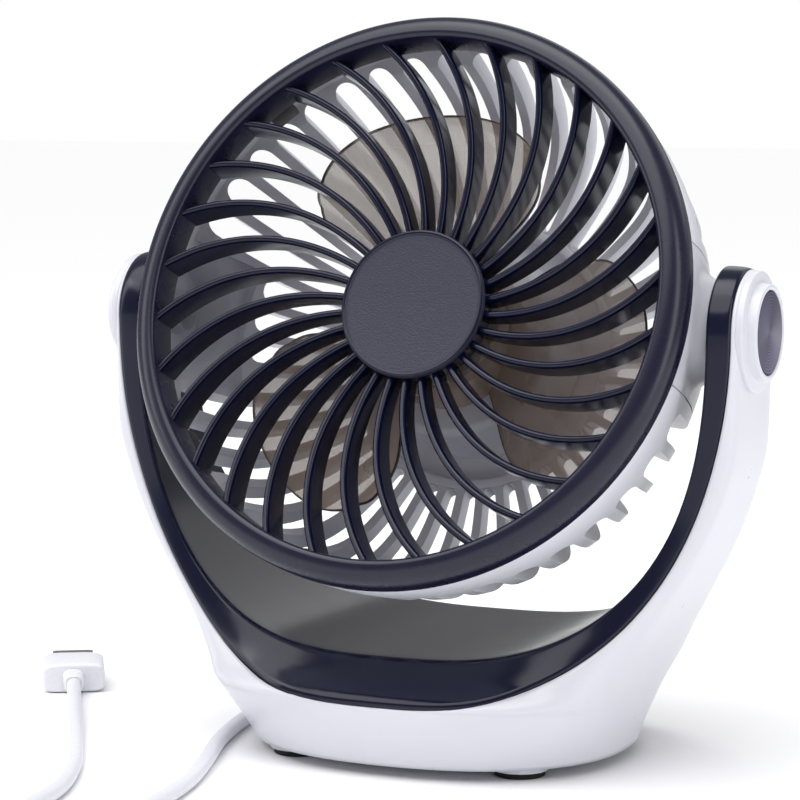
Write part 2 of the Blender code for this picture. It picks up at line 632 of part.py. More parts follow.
def make_grille():
    ring = lathe((
        (RING_RADIUS, RING_BACK), (RING_RADIUS, RING_BACK + 3.0 * MM),
        (RING_RADIUS - 1.8 * MM, RING_BACK + 5.6 * MM), (RING_APEX_RADIUS, RING_APEX),
        (RING_BORE, RING_APEX - 1.0 * MM), (RING_BORE, SKIRT_BACK),
        (RING_BORE + SKIRT_WALL, SKIRT_BACK), (RING_BORE + SKIRT_WALL, RING_BACK),
    ), 48)
    plate_front = HUB_FRONT - HUB_WALL
    hub = lathe((
        (0.0, HUB_FRONT), (HUB_RADIUS - 0.6 * MM, HUB_FRONT), (HUB_RADIUS, HUB_FRONT - 0.6 * MM),
        (HUB_RADIUS, HUB_BACK), (HUB_RADIUS - HUB_WALL, HUB_BACK),
        (HUB_RADIUS - HUB_WALL, plate_front), (0.0, plate_front),
    ), 28)
    merge(ring, hub)
    grille = piece("front_grille", ring, NAVY_PLASTIC, HEAD)
    ribs = bmesh.new()
    for i in range(RIB_COUNT):
        merge(ribs, rib(math.radians(360.0 * i / RIB_COUNT + RIB_PHASE)))
    combine(grille, cutter("grille_ribs", ribs, HEAD), "UNION")
    lugs = bmesh.new()
    lug_back = SLOT_START + 2.0 * MM
    outer = SHELL_RADIUS - SHELL_WALL - 2.0 * GAP
    for angle in LUG_ANGLES:
        lug = block((outer - RING_BORE - 0.5 * MM, 7.0 * MM, SKIRT_BACK + 1.0 * MM - lug_back),
                    ((outer + RING_BORE + 0.5 * MM) / 2.0, 0.0,
                     (SKIRT_BACK + 1.0 * MM + lug_back) / 2.0))
        bmesh.ops.rotate(lug, matrix=Matrix.Rotation(math.radians(angle), 3, "Z"),
                         verts=lug.verts)
        merge(lugs, lug)
    combine(grille, cutter("grille_lugs", lugs, HEAD), "UNION")

    back = HUB_FRONT + GAP
    front = back + HUB_CAP_THICKNESS
    cap = lathe((
        (0.0, back), (HUB_CAP_RADIUS, back), (HUB_CAP_RADIUS, front - 0.4 * MM),
        (HUB_CAP_RADIUS - 0.4 * MM, front), (HUB_CAP_RADIUS - 1.2 * MM, front),
        (HUB_CAP_RADIUS - 1.5 * MM, front - 0.4 * MM), (0.0, front - 0.4 * MM),
    ), 36)
    piece("hub_cap", cap, NAVY_GRAIN, HEAD)


def outline_point(height):
    """Outer radius of the rear shell at a height, along its outline."""
    for (high, r_high), (low, r_low) in zip(SHELL_OUTLINE, SHELL_OUTLINE[1:]):
        if low <= height <= high:
            return r_low + (r_high - r_low) * (height - low) / (high - low)
    return SHELL_RADIUS


def fin(turn, first=0, start=None):
    """One fin from the band, or from a bridge further back, in to the rear disc."""
    points = [Vector((r, 0.0, z)) for z, r in SHELL_OUTLINE[first:]]
    if start is not None:
        points.insert(0, Vector((outline_point(start) - 0.5 * MM, 0.0, start)))
    rings = []
    last = len(points) - 1
    outer_radius = SHELL_OUTLINE[0][1]
    inner_radius = SHELL_OUTLINE[-1][1]
    for i, point in enumerate(points):
        run = (points[min(i + 1, last)] - points[max(i - 1, 0)]).normalized()
        inwards = Vector((run.z, 0.0, -run.x)) * FIN_DEPTH
        share = (point.x - inner_radius) / (outer_radius - inner_radius)
        width = FIN_WIDTH[1] + (FIN_WIDTH[0] - FIN_WIDTH[1]) * share
        across = Vector((0.0, width / 2.0, 0.0))
        rings.append([point - across, point + across, point + inwards + across,
                      point + inwards - across])
    bm = loft(rings)
    bmesh.ops.rotate(bm, matrix=Matrix.Rotation(turn, 3, "Z"), verts=bm.verts)
    return bm


def arc_solid(stations, half_angle, steps, thickness):
    """A strip of a turned wall: outer (height, radius) stations over an arc about +X."""
    rings = []
    for i in range(steps + 1):
        angle = math.radians(-half_angle + 2.0 * half_angle * i / steps)
        ring = [Vector((r * math.cos(angle), r * math.sin(angle), z)) for z, r in stations]
        ring += [Vector(((r - thickness) * math.cos(angle), (r - thickness) * math.sin(angle), z))
                 for z, r in reversed(stations)]
        rings.append(ring)
    return loft(rings)


def make_rear_shell():
    inner = SHELL_RADIUS - SHELL_WALL
    band_front = RING_BACK - GAP
    body = lathe((
        (SHELL_RADIUS, SLOT_START), (SHELL_RADIUS, band_front), (inner, band_front),
        (inner, SLOT_START),
    ), SLOT_COUNT)
    disc_front = DISC_BACK + SHELL_WALL
    rim_front = DISC_BACK + FIN_DEPTH + 0.6 * MM
    merge(body, lathe((
        (0.0, DISC_BACK), (DISC_RADIUS - 0.8 * MM, DISC_BACK), (DISC_RADIUS, DISC_BACK + 0.8 * MM),
        (DISC_RADIUS, rim_front), (DISC_RADIUS - 3.0 * MM, rim_front),
        (DISC_RADIUS - 3.0 * MM, disc_front), (0.0, disc_front),
    ), SLOT_COUNT))
    shell = piece("rear_shell", body, WHITE_PLASTIC, HEAD)
    holes = bmesh.new()
    radius = SCREW_SHANK_RADIUS + 2.0 * GAP
    for x, y in housing_screw_spots():
        hole = rod(radius, DISC_BACK - 5.0 * MM, DISC_BACK + 8.0 * MM, 10, (x, y))
        merge(holes, hole)
    combine(shell, cutter("shell_holes", holes, HEAD), "DIFFERENCE")
    notches = bmesh.new()
    notch_half = SHELL_RADIUS * math.sin(math.radians(POD_ANGLE)) + GAP
    for side, _ in SIDES:
        merge(notches, block((20.0 * MM, 2.0 * notch_half, 40.0 * MM),
                             (side * (inner + 1.0 * MM), 0.0, SLOT_START)))
    combine(shell, cutter("pod_notches", notches, HEAD), "DIFFERENCE")

    pitch = 360.0 / SLOT_COUNT
    fins = bmesh.new()
    covered = int(POD_ANGLE / pitch)
    bridged = [i % (SLOT_COUNT // 2) for i in range(-covered, covered + 1)]
    for i in range(SLOT_COUNT):
        turn = math.radians(pitch * i)
        if i % (SLOT_COUNT // 2) in bridged:
            merge(fins, fin(turn, first=3, start=(POD_BACK + BRIDGE_BACK) / 2.0 - GAP))
        else:
            merge(fins, fin(turn))
    combine(shell, cutter("shell_fins", fins, HEAD), "UNION")
    top = POD_BACK - GAP
    bridges = bmesh.new()
    for side, _ in SIDES:
        stations = [(z, outline_point(z)) for z in (top, BRIDGE_BACK)]
        strip = arc_solid(stations, pitch * (covered + 1), 8, SHELL_WALL)
        if side < 0:
            bmesh.ops.rotate(strip, matrix=Matrix.Rotation(math.pi, 3, "Z"), verts=strip.verts)
        merge(bridges, strip)
    combine(shell, cutter("shell_bridges", bridges, HEAD), "UNION")


def make_pods():
    """The two trunnion pods, each with its neck and the spigot that turns in the arm."""
    front = RING_BACK - GAP
    heights = [front, SLOT_START] + [z for z, _ in SHELL_OUTLINE[1:3]] + [POD_BACK]
    stations = [(z, outline_point(z)) for z in heights]
    neck_face = TRAY_HALF_WIDTH - NECK_CLEARANCE
    screw_bore = PIVOT_SHANK_RADIUS + GAP
    for side, word in SIDES:
        face = Matrix.Rotation(0.0 if side > 0 else math.pi, 4, "Z")
        pod = piece(f"trunnion_{word}", arc_solid(stations, POD_ANGLE, 6, SHELL_WALL),
                    WHITE_PLASTIC, HEAD, face)
        neck = lathe((
            (0.0, 69.5 * MM), (NECK_RADIUS + 3.0 * MM, 69.5 * MM),
            (NECK_RADIUS + 2.6 * MM, 73.0 * MM), (NECK_RADIUS + 0.6 * MM, 75.5 * MM),
            (NECK_RADIUS, neck_face), (SPIGOT_RADIUS, neck_face),
            (SPIGOT_RADIUS, SPIGOT_END), (screw_bore, SPIGOT_END),
            (screw_bore, 74.0 * MM), (0.0, 74.0 * MM),
        ), 24)
        outwards = face @ Matrix.Rotation(math.radians(90.0), 4, "Y")
        combine(pod, cutter(f"neck_{word}", neck, HEAD, outwards), "UNION")
        head_seat = BOSS_SEAT + 1.0 * MM + 0.6 * MM + 3.0 * GAP
        place = face @ Matrix.Rotation(math.radians(-90.0), 4, "Y")
        place = place @ Matrix.Translation((0.0, 0.0, -head_seat))
        screw(f"pivot_screw_{word}", PIVOT_HEAD_RADIUS, PIVOT_SHANK_RADIUS, PIVOT_HEAD_HEIGHT,
              11.0 * MM, HEAD, place)


def housing_screw_spots():
    spots = []
    for angle in (90.0, 210.0, 330.0):
        turn = math.radians(angle)
        spots.append((HOUSING_SCREW_OFFSET * math.cos(turn), HOUSING_SCREW_OFFSET * math.sin(turn)))
    return spots


def make_motor():
    base = DISC_BACK + SHELL_WALL + GAP
    inside = HOUSING_FRONT - HOUSING_WALL
    nose = 4.0 * MM
    housing = lathe((
        (nose + GAP, HOUSING_FRONT), (HOUSING_RADIUS - 1.5 * MM, HOUSING_FRONT),
        (HOUSING_RADIUS, HOUSING_FRONT - 1.5 * MM), (HOUSING_RADIUS + 1.0 * MM, base),
        (HOUSING_RADIUS - HOUSING_WALL, base), (HOUSING_RADIUS - HOUSING_WALL, inside),
        (nose + GAP, inside),
    ), 24)
    housing = piece("motor_housing", housing, WHITE_PLASTIC, HEAD)
    posts = bmesh.new()
    bores = bmesh.new()
    for x, y in housing_screw_spots():
        merge(posts, rod(POST_RADIUS, base, inside + 0.5 * MM, 12, (x, y)))
        merge(bores, rod(SCREW_SHANK_RADIUS + GAP, base - 5.0 * MM, base + 12.0 * MM, 10, (x, y)))
    for sign in (-1.0, 1.0):
        merge(bores, rod(SCREW_SHANK_RADIUS + 2.0 * GAP, inside - 5.0 * MM, HOUSING_FRONT + 5.0 * MM,
                         10, (sign * MOTOR_SCREW_OFFSET, 0.0)))
    combine(housing, cutter("housing_posts", posts, HEAD), "UNION")
    combine(housing, cutter("housing_bores", bores, HEAD), "DIFFERENCE")
    for index, (x, y) in enumerate(housing_screw_spots(), start=1):
        place = Matrix.Translation((x, y, DISC_BACK - GAP))
        screw(f"housing_screw_{index}", SCREW_HEAD_RADIUS, SCREW_SHANK_RADIUS, SCREW_HEAD_HEIGHT,
              10.0 * MM, HEAD, place)
    for sign, word in SIDES:
        place = Matrix.Translation((sign * MOTOR_SCREW_OFFSET, 0.0, HOUSING_FRONT + GAP))
        place = place @ Matrix.Rotation(math.pi, 4, "X")
        screw(f"motor_screw_{word}", 2.0 * MM, SCREW_SHANK_RADIUS, 0.8 * MM, 3.4 * MM, HEAD, place)

    can_front = inside - GAP
    can_inside = can_front - CAN_WALL
    bore = SHAFT_RADIUS + GAP
    seat = BUSH_RADIUS + GAP
    can = lathe((
        (seat, HOUSING_FRONT - 0.5 * MM), (nose, HOUSING_FRONT - 0.5 * MM), (nose, can_front),
        (CAN_RADIUS - 0.6 * MM, can_front), (CAN_RADIUS, can_front - 0.6 * MM),
        (CAN_RADIUS, CAN_BACK), (CAN_RADIUS - CAN_WALL, CAN_BACK),
        (CAN_RADIUS - CAN_WALL, can_inside), (seat, can_inside),
    ), 24)
    can = piece("motor_can", can, STEEL, HEAD)
    tapped = bmesh.new()
    for sign in (-1.0, 1.0):
        merge(tapped, rod(SCREW_SHANK_RADIUS + GAP, can_inside - 3.0 * MM, can_front + 3.0 * MM, 10,
                          (sign * MOTOR_SCREW_OFFSET, 0.0)))
    combine(can, cutter("can_holes", tapped, HEAD), "DIFFERENCE")
    bush = lathe(((bore, can_inside + 0.2 * MM), (BUSH_RADIUS, can_inside + 0.2 * MM),
                  (BUSH_RADIUS, HOUSING_FRONT - 0.7 * MM), (bore, HOUSING_FRONT - 0.7 * MM)), 14)
    piece("bush_front", bush, BRASS, HEAD)

    cap_front = CAN_BACK - GAP
    cap_back = cap_front - END_CAP_THICKNESS
    end_cap = lathe((
        (seat, cap_front), (CAN_RADIUS, cap_front), (CAN_RADIUS, cap_back + 0.5 * MM),
        (CAN_RADIUS - 0.5 * MM, cap_back), (seat, cap_back),
    ), 24)
    piece("motor_end_cap", end_cap, BLACK_PLASTIC, HEAD)
    bush = lathe(((bore, cap_back + 0.2 * MM), (BUSH_RADIUS, cap_back + 0.2 * MM),
                  (BUSH_RADIUS, cap_front), (bore, cap_front)), 14)
    piece("bush_rear", bush, BRASS, HEAD)

    magnet_outer = CAN_RADIUS - CAN_WALL - GAP
    for sign, word in SIDES:
        stations = ((can_inside - 3.6 * MM, magnet_outer), (CAN_BACK + 1.0 * MM, magnet_outer))
        magnet = arc_solid(stations, 62.0, 8, MAGNET_THICKNESS)
        face = Matrix.Rotation(0.0 if sign > 0 else math.pi, 4, "Z")
        piece(f"motor_magnet_{word}", magnet, FERRITE, HEAD, face)


def make_rotor():
    """The impeller and everything on its shaft."""
    shaft_back = CAN_BACK - 1.5 * MM
    piece("motor_shaft", rod(SHAFT_RADIUS, shaft_back, SHAFT_FRONT, 10), STEEL, ROTOR)
    bore = SHAFT_RADIUS + GAP
    core_front = HOUSING_FRONT - HOUSING_WALL - CAN_WALL - 4.6 * MM
    core_back = CAN_BACK + 2.6 * MM
    core = lathe(((bore, core_back), (ARMATURE_RADIUS, core_back), (ARMATURE_RADIUS, core_front),
                  (bore, core_front)), 20)
    piece("armature", core, STEEL, ROTOR)
    commutator = lathe(((bore, CAN_BACK + 0.2 * MM), (COMMUTATOR_RADIUS, CAN_BACK + 0.2 * MM),
                        (COMMUTATOR_RADIUS, core_back - GAP), (bore, core_back - GAP)), 12)
    piece("commutator", commutator, COPPER, ROTOR)

    sleeve = 4.0 * MM
    sleeve_back = HOUSING_FRONT + 2.0 * MM
    inside = SPINNER_FRONT - SPINNER_WALL
    spinner = lathe((
        (0.0, SPINNER_FRONT), (SPINNER_RADIUS - 3.0 * MM, SPINNER_FRONT),
        (SPINNER_RADIUS - 0.8 * MM, SPINNER_FRONT - 1.0 * MM),
        (SPINNER_RADIUS, SPINNER_FRONT - 3.0 * MM), (SPINNER_RADIUS, SPINNER_BACK),
        (SPINNER_RADIUS - SPINNER_WALL, SPINNER_BACK), (SPINNER_RADIUS - SPINNER_WALL, inside),
        (sleeve, inside), (sleeve, sleeve_back), (bore, sleeve_back),
        (bore, SHAFT_FRONT + GAP), (0.0, SHAFT_FRONT + GAP),
    ), 30)
    spinner = piece("impeller", spinner, SMOKE, ROTOR)
    blades = bmesh.new()
    for i in range(BLADE_COUNT):
        merge(blades, blade(math.radians(BLADE_PHASE + 360.0 * i / BLADE_COUNT)))
    combine(spinner, cutter("impeller_blades", blades, ROTOR), "UNION")


def blade(turn):
    """One broad blade: it runs from its leading edge at the back to the front."""
    root = SPINNER_RADIUS - 0.8 * MM
    rows = 6
    columns = 7
    top = []
    for i in range(rows):
        share = i / (rows - 1)
        radius = root + (BLADE_TIP - root) * share
        half_angle = math.radians(33.0 + 8.0 * math.sin(math.pi * min(share, 0.75)))
        row = []
        for j in range(columns):
            side = -1.0 + 2.0 * j / (columns - 1)
            corner = 1.0 - 0.11 * share ** 3 * abs(side) ** 4
            angle = turn + half_angle * side * (1.0 - 0.16 * share ** 6)
            height = BLADE_BACK + (BLADE_FRONT - BLADE_BACK) * (side + 1.0) / 2.0
            reach = radius * corner
            row.append(Vector((reach * math.cos(angle), reach * math.sin(angle), height)))
        top.append(row)
    bm = bmesh.new()
    lift = Vector((0.0, 0.0, BLADE_THICKNESS / 2.0))
    upper = [[bm.verts.new(p + lift) for p in row] for row in top]
    lower = [[bm.verts.new(p - lift) for p in row] for row in top]
    for i in range(rows - 1):
        for j in range(columns - 1):
            bm.faces.new((upper[i][j], upper[i][j + 1], upper[i + 1][j + 1], upper[i + 1][j]))
            bm.faces.new((lower[i][j], lower[i + 1][j], lower[i + 1][j + 1], lower[i][j + 1]))
    rim = [(0, j) for j in range(columns)]
    rim += [(i, columns - 1) for i in range(1, rows)]
    rim += [(rows - 1, j) for j in range(columns - 2, -1, -1)]
    rim += [(i, 0) for i in range(rows - 2, 0, -1)]
    for (a, b), (c, d) in zip(rim, rim[1:] + rim[:1]):
        bm.faces.new((upper[a][b], lower[a][b], lower[c][d], upper[c][d]))
    return bm


# ---------------------------------------------------------------- USB lead

def smooth_route(points, spacing):
    """Points a steady distance apart on a smooth curve through the given ones."""
    given = [Vector(p) * MM for p in points]
    ends = [2.0 * given[0] - given[1]] + given + [2.0 * given[-1] - given[-2]]
    fine = []
    for before, start, end, after in zip(ends, ends[1:], ends[2:], ends[3:]):
        for step in range(12):
            t = step / 12.0
            fine.append(0.5 * (2.0 * start + (end - before) * t
                               + (2.0 * before - 5.0 * start + 4.0 * end - after) * t ** 2
                               + (3.0 * start - before - 3.0 * end + after) * t ** 3))
    fine.append(given[-1])
    total = sum((b - a).length for a, b in zip(fine, fine[1:]))
    count = max(2, round(total / spacing))
    route = [fine[0]]
    travelled = 0.0
    for a, b in zip(fine, fine[1:]):
        travelled += (b - a).length
        if travelled >= len(route) * total / count and len(route) < count:
            route.append(b)
    route.append(fine[-1])
    return route


def make_tube(name, points):
    curve = bpy.data.curves.new(name, "CURVE")
    curve.dimensions = "3D"
    curve.bevel_depth = CABLE_RADIUS
    curve.bevel_resolution = 2
    curve.use_fill_caps = True
    route = smooth_route(points, 9.0 * MM)
    spline = curve.splines.new("POLY")
    spline.points.add(len(route) - 1)
    for point, place in zip(spline.points, route):
        point.co = (*place, 1.0)
    curve.materials.append(WHITE_CABLE)
    node = bpy.data.objects.new(name, curve)
    node.parent = STAND
    bpy.context.collection.objects.link(node)


def rounded_plan(width, length, thickness, start, corner, layers=4):
    """A rounded block along +Y from start, centred on X and Z."""
    bm = block((width, length, thickness), (0.0, start + length / 2.0, 0.0))
    edges = [e for e in bm.edges if abs((e.verts[0].co - e.verts[1].co).y) > length / 2.0]
    bmesh.ops.bevel(bm, geom=edges, offset=corner, segments=layers, profile=0.5, affect="EDGES")
    return bm


def make_lead():
    make_tube("cord_lead", LEAD_ROUTE)
    make_tube("cord_run", RUN_ROUTE)
    inner, outer = COIL_RADII
    edge = 1.2 * MM
    coil = lathe(((inner, edge), (inner + edge, 0.0), (outer - edge, 0.0), (outer, edge),
                  (outer, COIL_HEIGHT - edge), (outer - edge, COIL_HEIGHT),
                  (inner + edge, COIL_HEIGHT), (inner, COIL_HEIGHT - edge)), 24)
    piece("cord_coil", coil, WHITE_CABLE, STAND, Matrix.Translation((*COIL_CENTRE, 0.0)))

    plug = Matrix.Translation((*PLUG_START, PLUG_AXIS_Z))
    plug = plug @ Matrix.Rotation(math.radians(PLUG_TURN), 4, "Z")
    neck_rings = []
    for share, half_width, half_height in ((0.0, 2.7, 2.5), (0.5, 3.0, 2.7), (1.0, 3.4, 2.9)):
        ring = []
        for i in range(16):
            x, z = superellipse(half_width * MM, half_height * MM, 3.0, 3.0,
                                2.0 * math.pi * (i + 0.5) / 16)
            ring.append(Vector((x, share * NECK_LENGTH, z)))
        neck_rings.append(ring)
    piece("plug_neck", loft(neck_rings), WHITE_PLASTIC, STAND, plug)
    grip_start = NECK_LENGTH + GAP
    grip = rounded_plan(*GRIP_SIZE, grip_start, 2.2 * MM)
    piece("plug_grip", grip, WHITE_PLASTIC, STAND, plug)

    shell_start = grip_start + GRIP_SIZE[1] + GAP
    width, length, height = PLUG_SHELL_SIZE
    shell = piece("plug_shell", rounded_plan(width, length, height, shell_start, 0.5 * MM, 2),
                  STEEL, STAND, plug)
    wall = PLUG_SHELL_WALL
    bore = block((width - 2.0 * wall, length, height - 2.0 * wall),
                 (0.0, shell_start + wall + length / 2.0, 0.0))
    combine(shell, cutter("plug_bore", bore, STAND, plug), "DIFFERENCE")
    windows = bmesh.new()
    for sign in (-1.0, 1.0):
        merge(windows, block((WINDOW_SIZE, WINDOW_SIZE, 4.0 * height),
                             (sign * WINDOW_OFFSET, shell_start + length - 5.2 * MM, 0.0)))
    combine(shell, cutter("plug_windows", windows, STAND, plug), "DIFFERENCE")

    tongue_start = shell_start + wall + GAP
    width, length, thickness = TONGUE_SIZE
    tongue_z = height / 2.0 - wall - GAP - thickness / 2.0
    tongue = block((width, length, thickness), (0.0, tongue_start + length / 2.0, tongue_z))
    piece("plug_tongue", tongue, WHITE_PLASTIC, STAND, plug)
    contact_z = tongue_z - thickness / 2.0 - GAP - CONTACT_SIZE[2] / 2.0
    for index in range(4):
        x = (index - 1.5) * CONTACT_PITCH
        y = tongue_start + length - 1.0 * MM - CONTACT_SIZE[1] / 2.0
        piece(f"plug_contact_{index + 1}", block(CONTACT_SIZE, (x, y, contact_z)), BRASS,
              STAND, plug)


clear_scene()
SIDES = ((-1.0, "left"), (1.0, "right"))
CUTTER = finish("cutter", (0.5, 0.5, 0.5), 0.5)
WHITE_PLASTIC = finish("white_plastic", (0.86, 0.86, 0.88), 0.35)
NAVY_PLASTIC = finish("navy_plastic", (0.012, 0.018, 0.062), 0.22)
NAVY_GRAIN = finish("navy_grain", (0.028, 0.026, 0.062), 0.55)
DARK_METAL = finish("dark_metal", (0.045, 0.04, 0.08), 0.35, metallic=0.9)
SMOKE = finish("smoky_clear", (0.42, 0.37, 0.34), 0.12, alpha=0.55)
BLACK_PLASTIC = finish("black_plastic", (0.02, 0.02, 0.02), 0.45)
RUBBER = finish("rubber", (0.012, 0.012, 0.012), 0.8)
STEEL = finish("steel", (0.6, 0.6, 0.62), 0.3, metallic=1.0)
BRASS = finish("brass", (0.75, 0.55, 0.25), 0.3, metallic=1.0)
COPPER = finish("copper", (0.72, 0.36, 0.2), 0.35, metallic=1.0)
FERRITE = finish("ferrite", (0.05, 0.05, 0.055), 0.6)
BOARD_GREEN = finish("board_green", (0.03, 0.16, 0.07), 0.4)
WHITE_CABLE = finish("white_cable", (0.8, 0.8, 0.83), 0.4)
STAND = empty("stand_frame", (0.0, -SETBACK, 0.0))
HEAD = empty("head_pivot", (0.0, 0.0, PIVOT_HEIGHT), STAND,
             (math.radians(90.0 - HEAD_TILT), 0.0, 0.0))
ROTOR = empty("blade_axis", (0.0, 0.0, 0.0), HEAD)

make_stand()
make_base()
make_controls()
make_pivots()
make_grille()
make_rear_shell()
make_pods()
make_motor()
make_rotor()
make_lead()
bpy.context.view_layer.update()
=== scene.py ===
# %% [markdown]
# # A USB desk fan, piece by piece
#
# A round head with a curved-rib grille tilts between the arms of a U-shaped stand. This
# lesson gives every visible piece its real surface: moulded ABS, smoky polystyrene, rubber,
# plated steel and PVC. The first cell loads the engineering model, whose sizes stay as they
# are. Everything here is in metres; lists of sizes are in millimetres and go through MM.

import json
import math

import bmesh
import bpy
from mathutils import Matrix, Vector


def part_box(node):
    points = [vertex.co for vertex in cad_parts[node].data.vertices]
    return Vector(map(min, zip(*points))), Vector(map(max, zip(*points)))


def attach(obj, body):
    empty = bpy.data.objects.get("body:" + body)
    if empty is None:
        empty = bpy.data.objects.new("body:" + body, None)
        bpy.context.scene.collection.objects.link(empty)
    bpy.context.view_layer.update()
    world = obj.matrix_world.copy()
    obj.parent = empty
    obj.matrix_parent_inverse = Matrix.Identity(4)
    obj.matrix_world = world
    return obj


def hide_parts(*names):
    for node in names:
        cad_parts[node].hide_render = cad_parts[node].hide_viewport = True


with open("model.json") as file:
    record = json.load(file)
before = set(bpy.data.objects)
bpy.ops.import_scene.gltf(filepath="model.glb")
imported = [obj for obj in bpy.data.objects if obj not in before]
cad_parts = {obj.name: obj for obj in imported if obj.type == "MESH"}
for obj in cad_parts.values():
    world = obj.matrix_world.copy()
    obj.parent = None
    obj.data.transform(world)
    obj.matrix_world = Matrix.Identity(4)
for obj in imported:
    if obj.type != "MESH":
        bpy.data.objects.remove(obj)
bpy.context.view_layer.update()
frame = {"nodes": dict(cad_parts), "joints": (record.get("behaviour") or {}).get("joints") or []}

MM = 0.001
JOINTS = {joint["name"]: joint for joint in frame["joints"]}
PIVOT = Vector(JOINTS["head_tilt"]["pos_m"])
BLADE_AXIS = Vector(JOINTS["impeller_spin"]["axis"]).normalized()
print("nodes", len(frame["nodes"]), "pivot", [round(v, 4) for v in PIVOT])

# %% [markdown]
# ## Two places to build in
#
# The stand is built with Y measured from the pivot axis and Z from the floor. The head is
# built lying flat, with its blade axis along Z, and is then leaned back by one matrix. That
# keeps every turned shape a simple profile.

# %% Frames for the stand and the head
STAND = Matrix.Translation((0.0, PIVOT.y, 0.0))
across = Vector((1.0, 0.0, 0.0))
upwards = BLADE_AXIS.cross(across)
HEAD = Matrix.Translation(PIVOT) @ Matrix((across, upwards, BLADE_AXIS)).transposed().to_4x4()
PIVOT_Z = PIVOT.z / MM
print("head leans back", round(math.degrees(math.asin(BLADE_AXIS.z)), 1), "degrees")

# %% [markdown]
# ## Camera
#
# A long lens from about three quarters of a metre keeps the ring nearly round, as a product
# picture does. The camera stands a little to the right and slightly above the pivot.

# %% Camera
CAMERA_AZIMUTH = math.radians(23.9)
CAMERA_RISE = math.radians(6.3)
CAMERA_DISTANCE = 766.0 * MM
CAMERA_LENS = 133.4

level = Vector((math.cos(CAMERA_AZIMUTH), math.sin(CAMERA_AZIMUTH), 0.0))
back = Vector((math.sin(CAMERA_AZIMUTH) * math.cos(CAMERA_RISE),
               -math.cos(CAMERA_AZIMUTH) * math.cos(CAMERA_RISE), math.sin(CAMERA_RISE)))
overhead = back.cross(level)
target = PIVOT - level * 9.06 * MM - overhead * 20.5 * MM
camera = bpy.data.objects.new("camera", bpy.data.cameras.new("camera"))
bpy.context.scene.collection.objects.link(camera)
camera.data.lens = CAMERA_LENS
camera.data.sensor_width = 36.0
camera.data.clip_start = 0.01
camera.data.clip_end = 20.0
camera.matrix_world = (Matrix.Translation(target + back * CAMERA_DISTANCE)
                       @ Matrix((level, overhead, back)).transposed().to_4x4())
bpy.context.scene.camera = camera
print("camera at", [round(v, 3) for v in camera.matrix_world.translation])

# %% [markdown]
# ## Colour
#
# Paint charts and screens give colours as sRGB hex values, but light adds up in linear
# numbers. One function turns the first into the second.

# %% Colour helper
def paint(hex_value, alpha=1.0):
    channels = [int(hex_value[i:i + 2], 16) / 255.0 for i in (1, 3, 5)]
    linear = [c / 12.92 if c <= 0.04045 else ((c + 0.055) / 1.055) ** 2.4 for c in channels]
    return (*linear, alpha)


print("mid grey is", [round(c, 3) for c in paint("#808080")[:3]], "in linear light")

# %% [markdown]
# ## Materials
#
# Every finish is made of nodes. One function adds a node with its settings and links, and a
# second starts a material with the numbers that are the same all over its surface. Patterns
# read the object's own coordinates, so a scale is one over a real size.

# %% Material helpers
def add(tree, kind, settings=(), links=()):
    """A node with its settings and its incoming links."""
    node = tree.nodes.new(kind)
    for name, value in dict(settings).items():
        if name in node.inputs:
            node.inputs[name].default_value = value
        else:
            setattr(node, name, value)
    for name, socket in dict(links).items():
        tree.links.new(socket, node.inputs[name])
    return node


def start(name, **numbers):
    """A new material, its node tree, its shader and the object's own coordinates."""
    material = bpy.data.materials.new(name)
    material.use_nodes = True
    tree = material.node_tree
    shader = tree.nodes["Principled BSDF"]
    for label, value in numbers.items():
        shader.inputs[label.replace("_", " ")].default_value = value
    place = add(tree, "ShaderNodeTexCoord").outputs["Object"]
    return material, tree, shader, place


def ramp(tree, socket, low, high, start_at=0.3, end_at=0.7):
    """Stretch a pattern's middle values over a range."""
    node = add(tree, "ShaderNodeMapRange", {"From Min": start_at, "From Max": end_at,
                                            "To Min": low, "To Max": high}, {"Value": socket})
    return node.outputs["Result"]


print("helpers ready")

# %% [markdown]
# ### Moulded ABS, white and navy
#
# The stand and the guards are injection-moulded ABS with a polished tool. The eye reads it
# from a clear highlight that wavers a little, because the wall sinks and swells by hundredths
# of a millimetre as it cools, and from fine handling marks that dull the gloss in patches.

# %% ABS
def moulded_abs(name, shade, patch_shade, roughness, shine=0.5):
    material, tree, shader, place = start(name, Metallic=0.0, IOR=1.54,
                                          Specular_IOR_Level=shine)
    swell = add(tree, "ShaderNodeTexNoise", {"Scale": 1.0 / (24.0 * MM), "Detail": 1.0},
                {"Vector": place})
    grain = add(tree, "ShaderNodeTexNoise", {"Scale": 1.0 / (0.7 * MM), "Detail": 2.0},
                {"Vector": place})
    marks = add(tree, "ShaderNodeTexNoise", {"Scale": 1.0 / (9.0 * MM), "Detail": 5.0,
                                             "Roughness": 0.65}, {"Vector": place})
    low, high = roughness
    tree.links.new(ramp(tree, marks.outputs["Fac"], low, high, 0.2, 0.8),
                   shader.inputs["Roughness"])
    tint = add(tree, "ShaderNodeMix", {"data_type": "RGBA"},
               {"Factor": ramp(tree, marks.outputs["Fac"], 0.0, 0.6, 0.2, 0.8)})
    colour_in = [s for s in tint.inputs if s.type == "RGBA"]
    colour_in[0].default_value = paint(shade)
    colour_in[1].default_value = paint(patch_shade)
    colour_out = [s for s in tint.outputs if s.type == "RGBA"][0]
    tree.links.new(colour_out, shader.inputs["Base Color"])
    wave = add(tree, "ShaderNodeBump", {"Strength": 0.012, "Distance": 1.0 * MM},
               {"Height": swell.outputs["Fac"]})
    fine = add(tree, "ShaderNodeBump", {"Strength": 0.02, "Distance": 0.05 * MM},
               {"Height": grain.outputs["Fac"], "Normal": wave.outputs["Normal"]})
    tree.links.new(fine.outputs["Normal"], shader.inputs["Normal"])
    return material


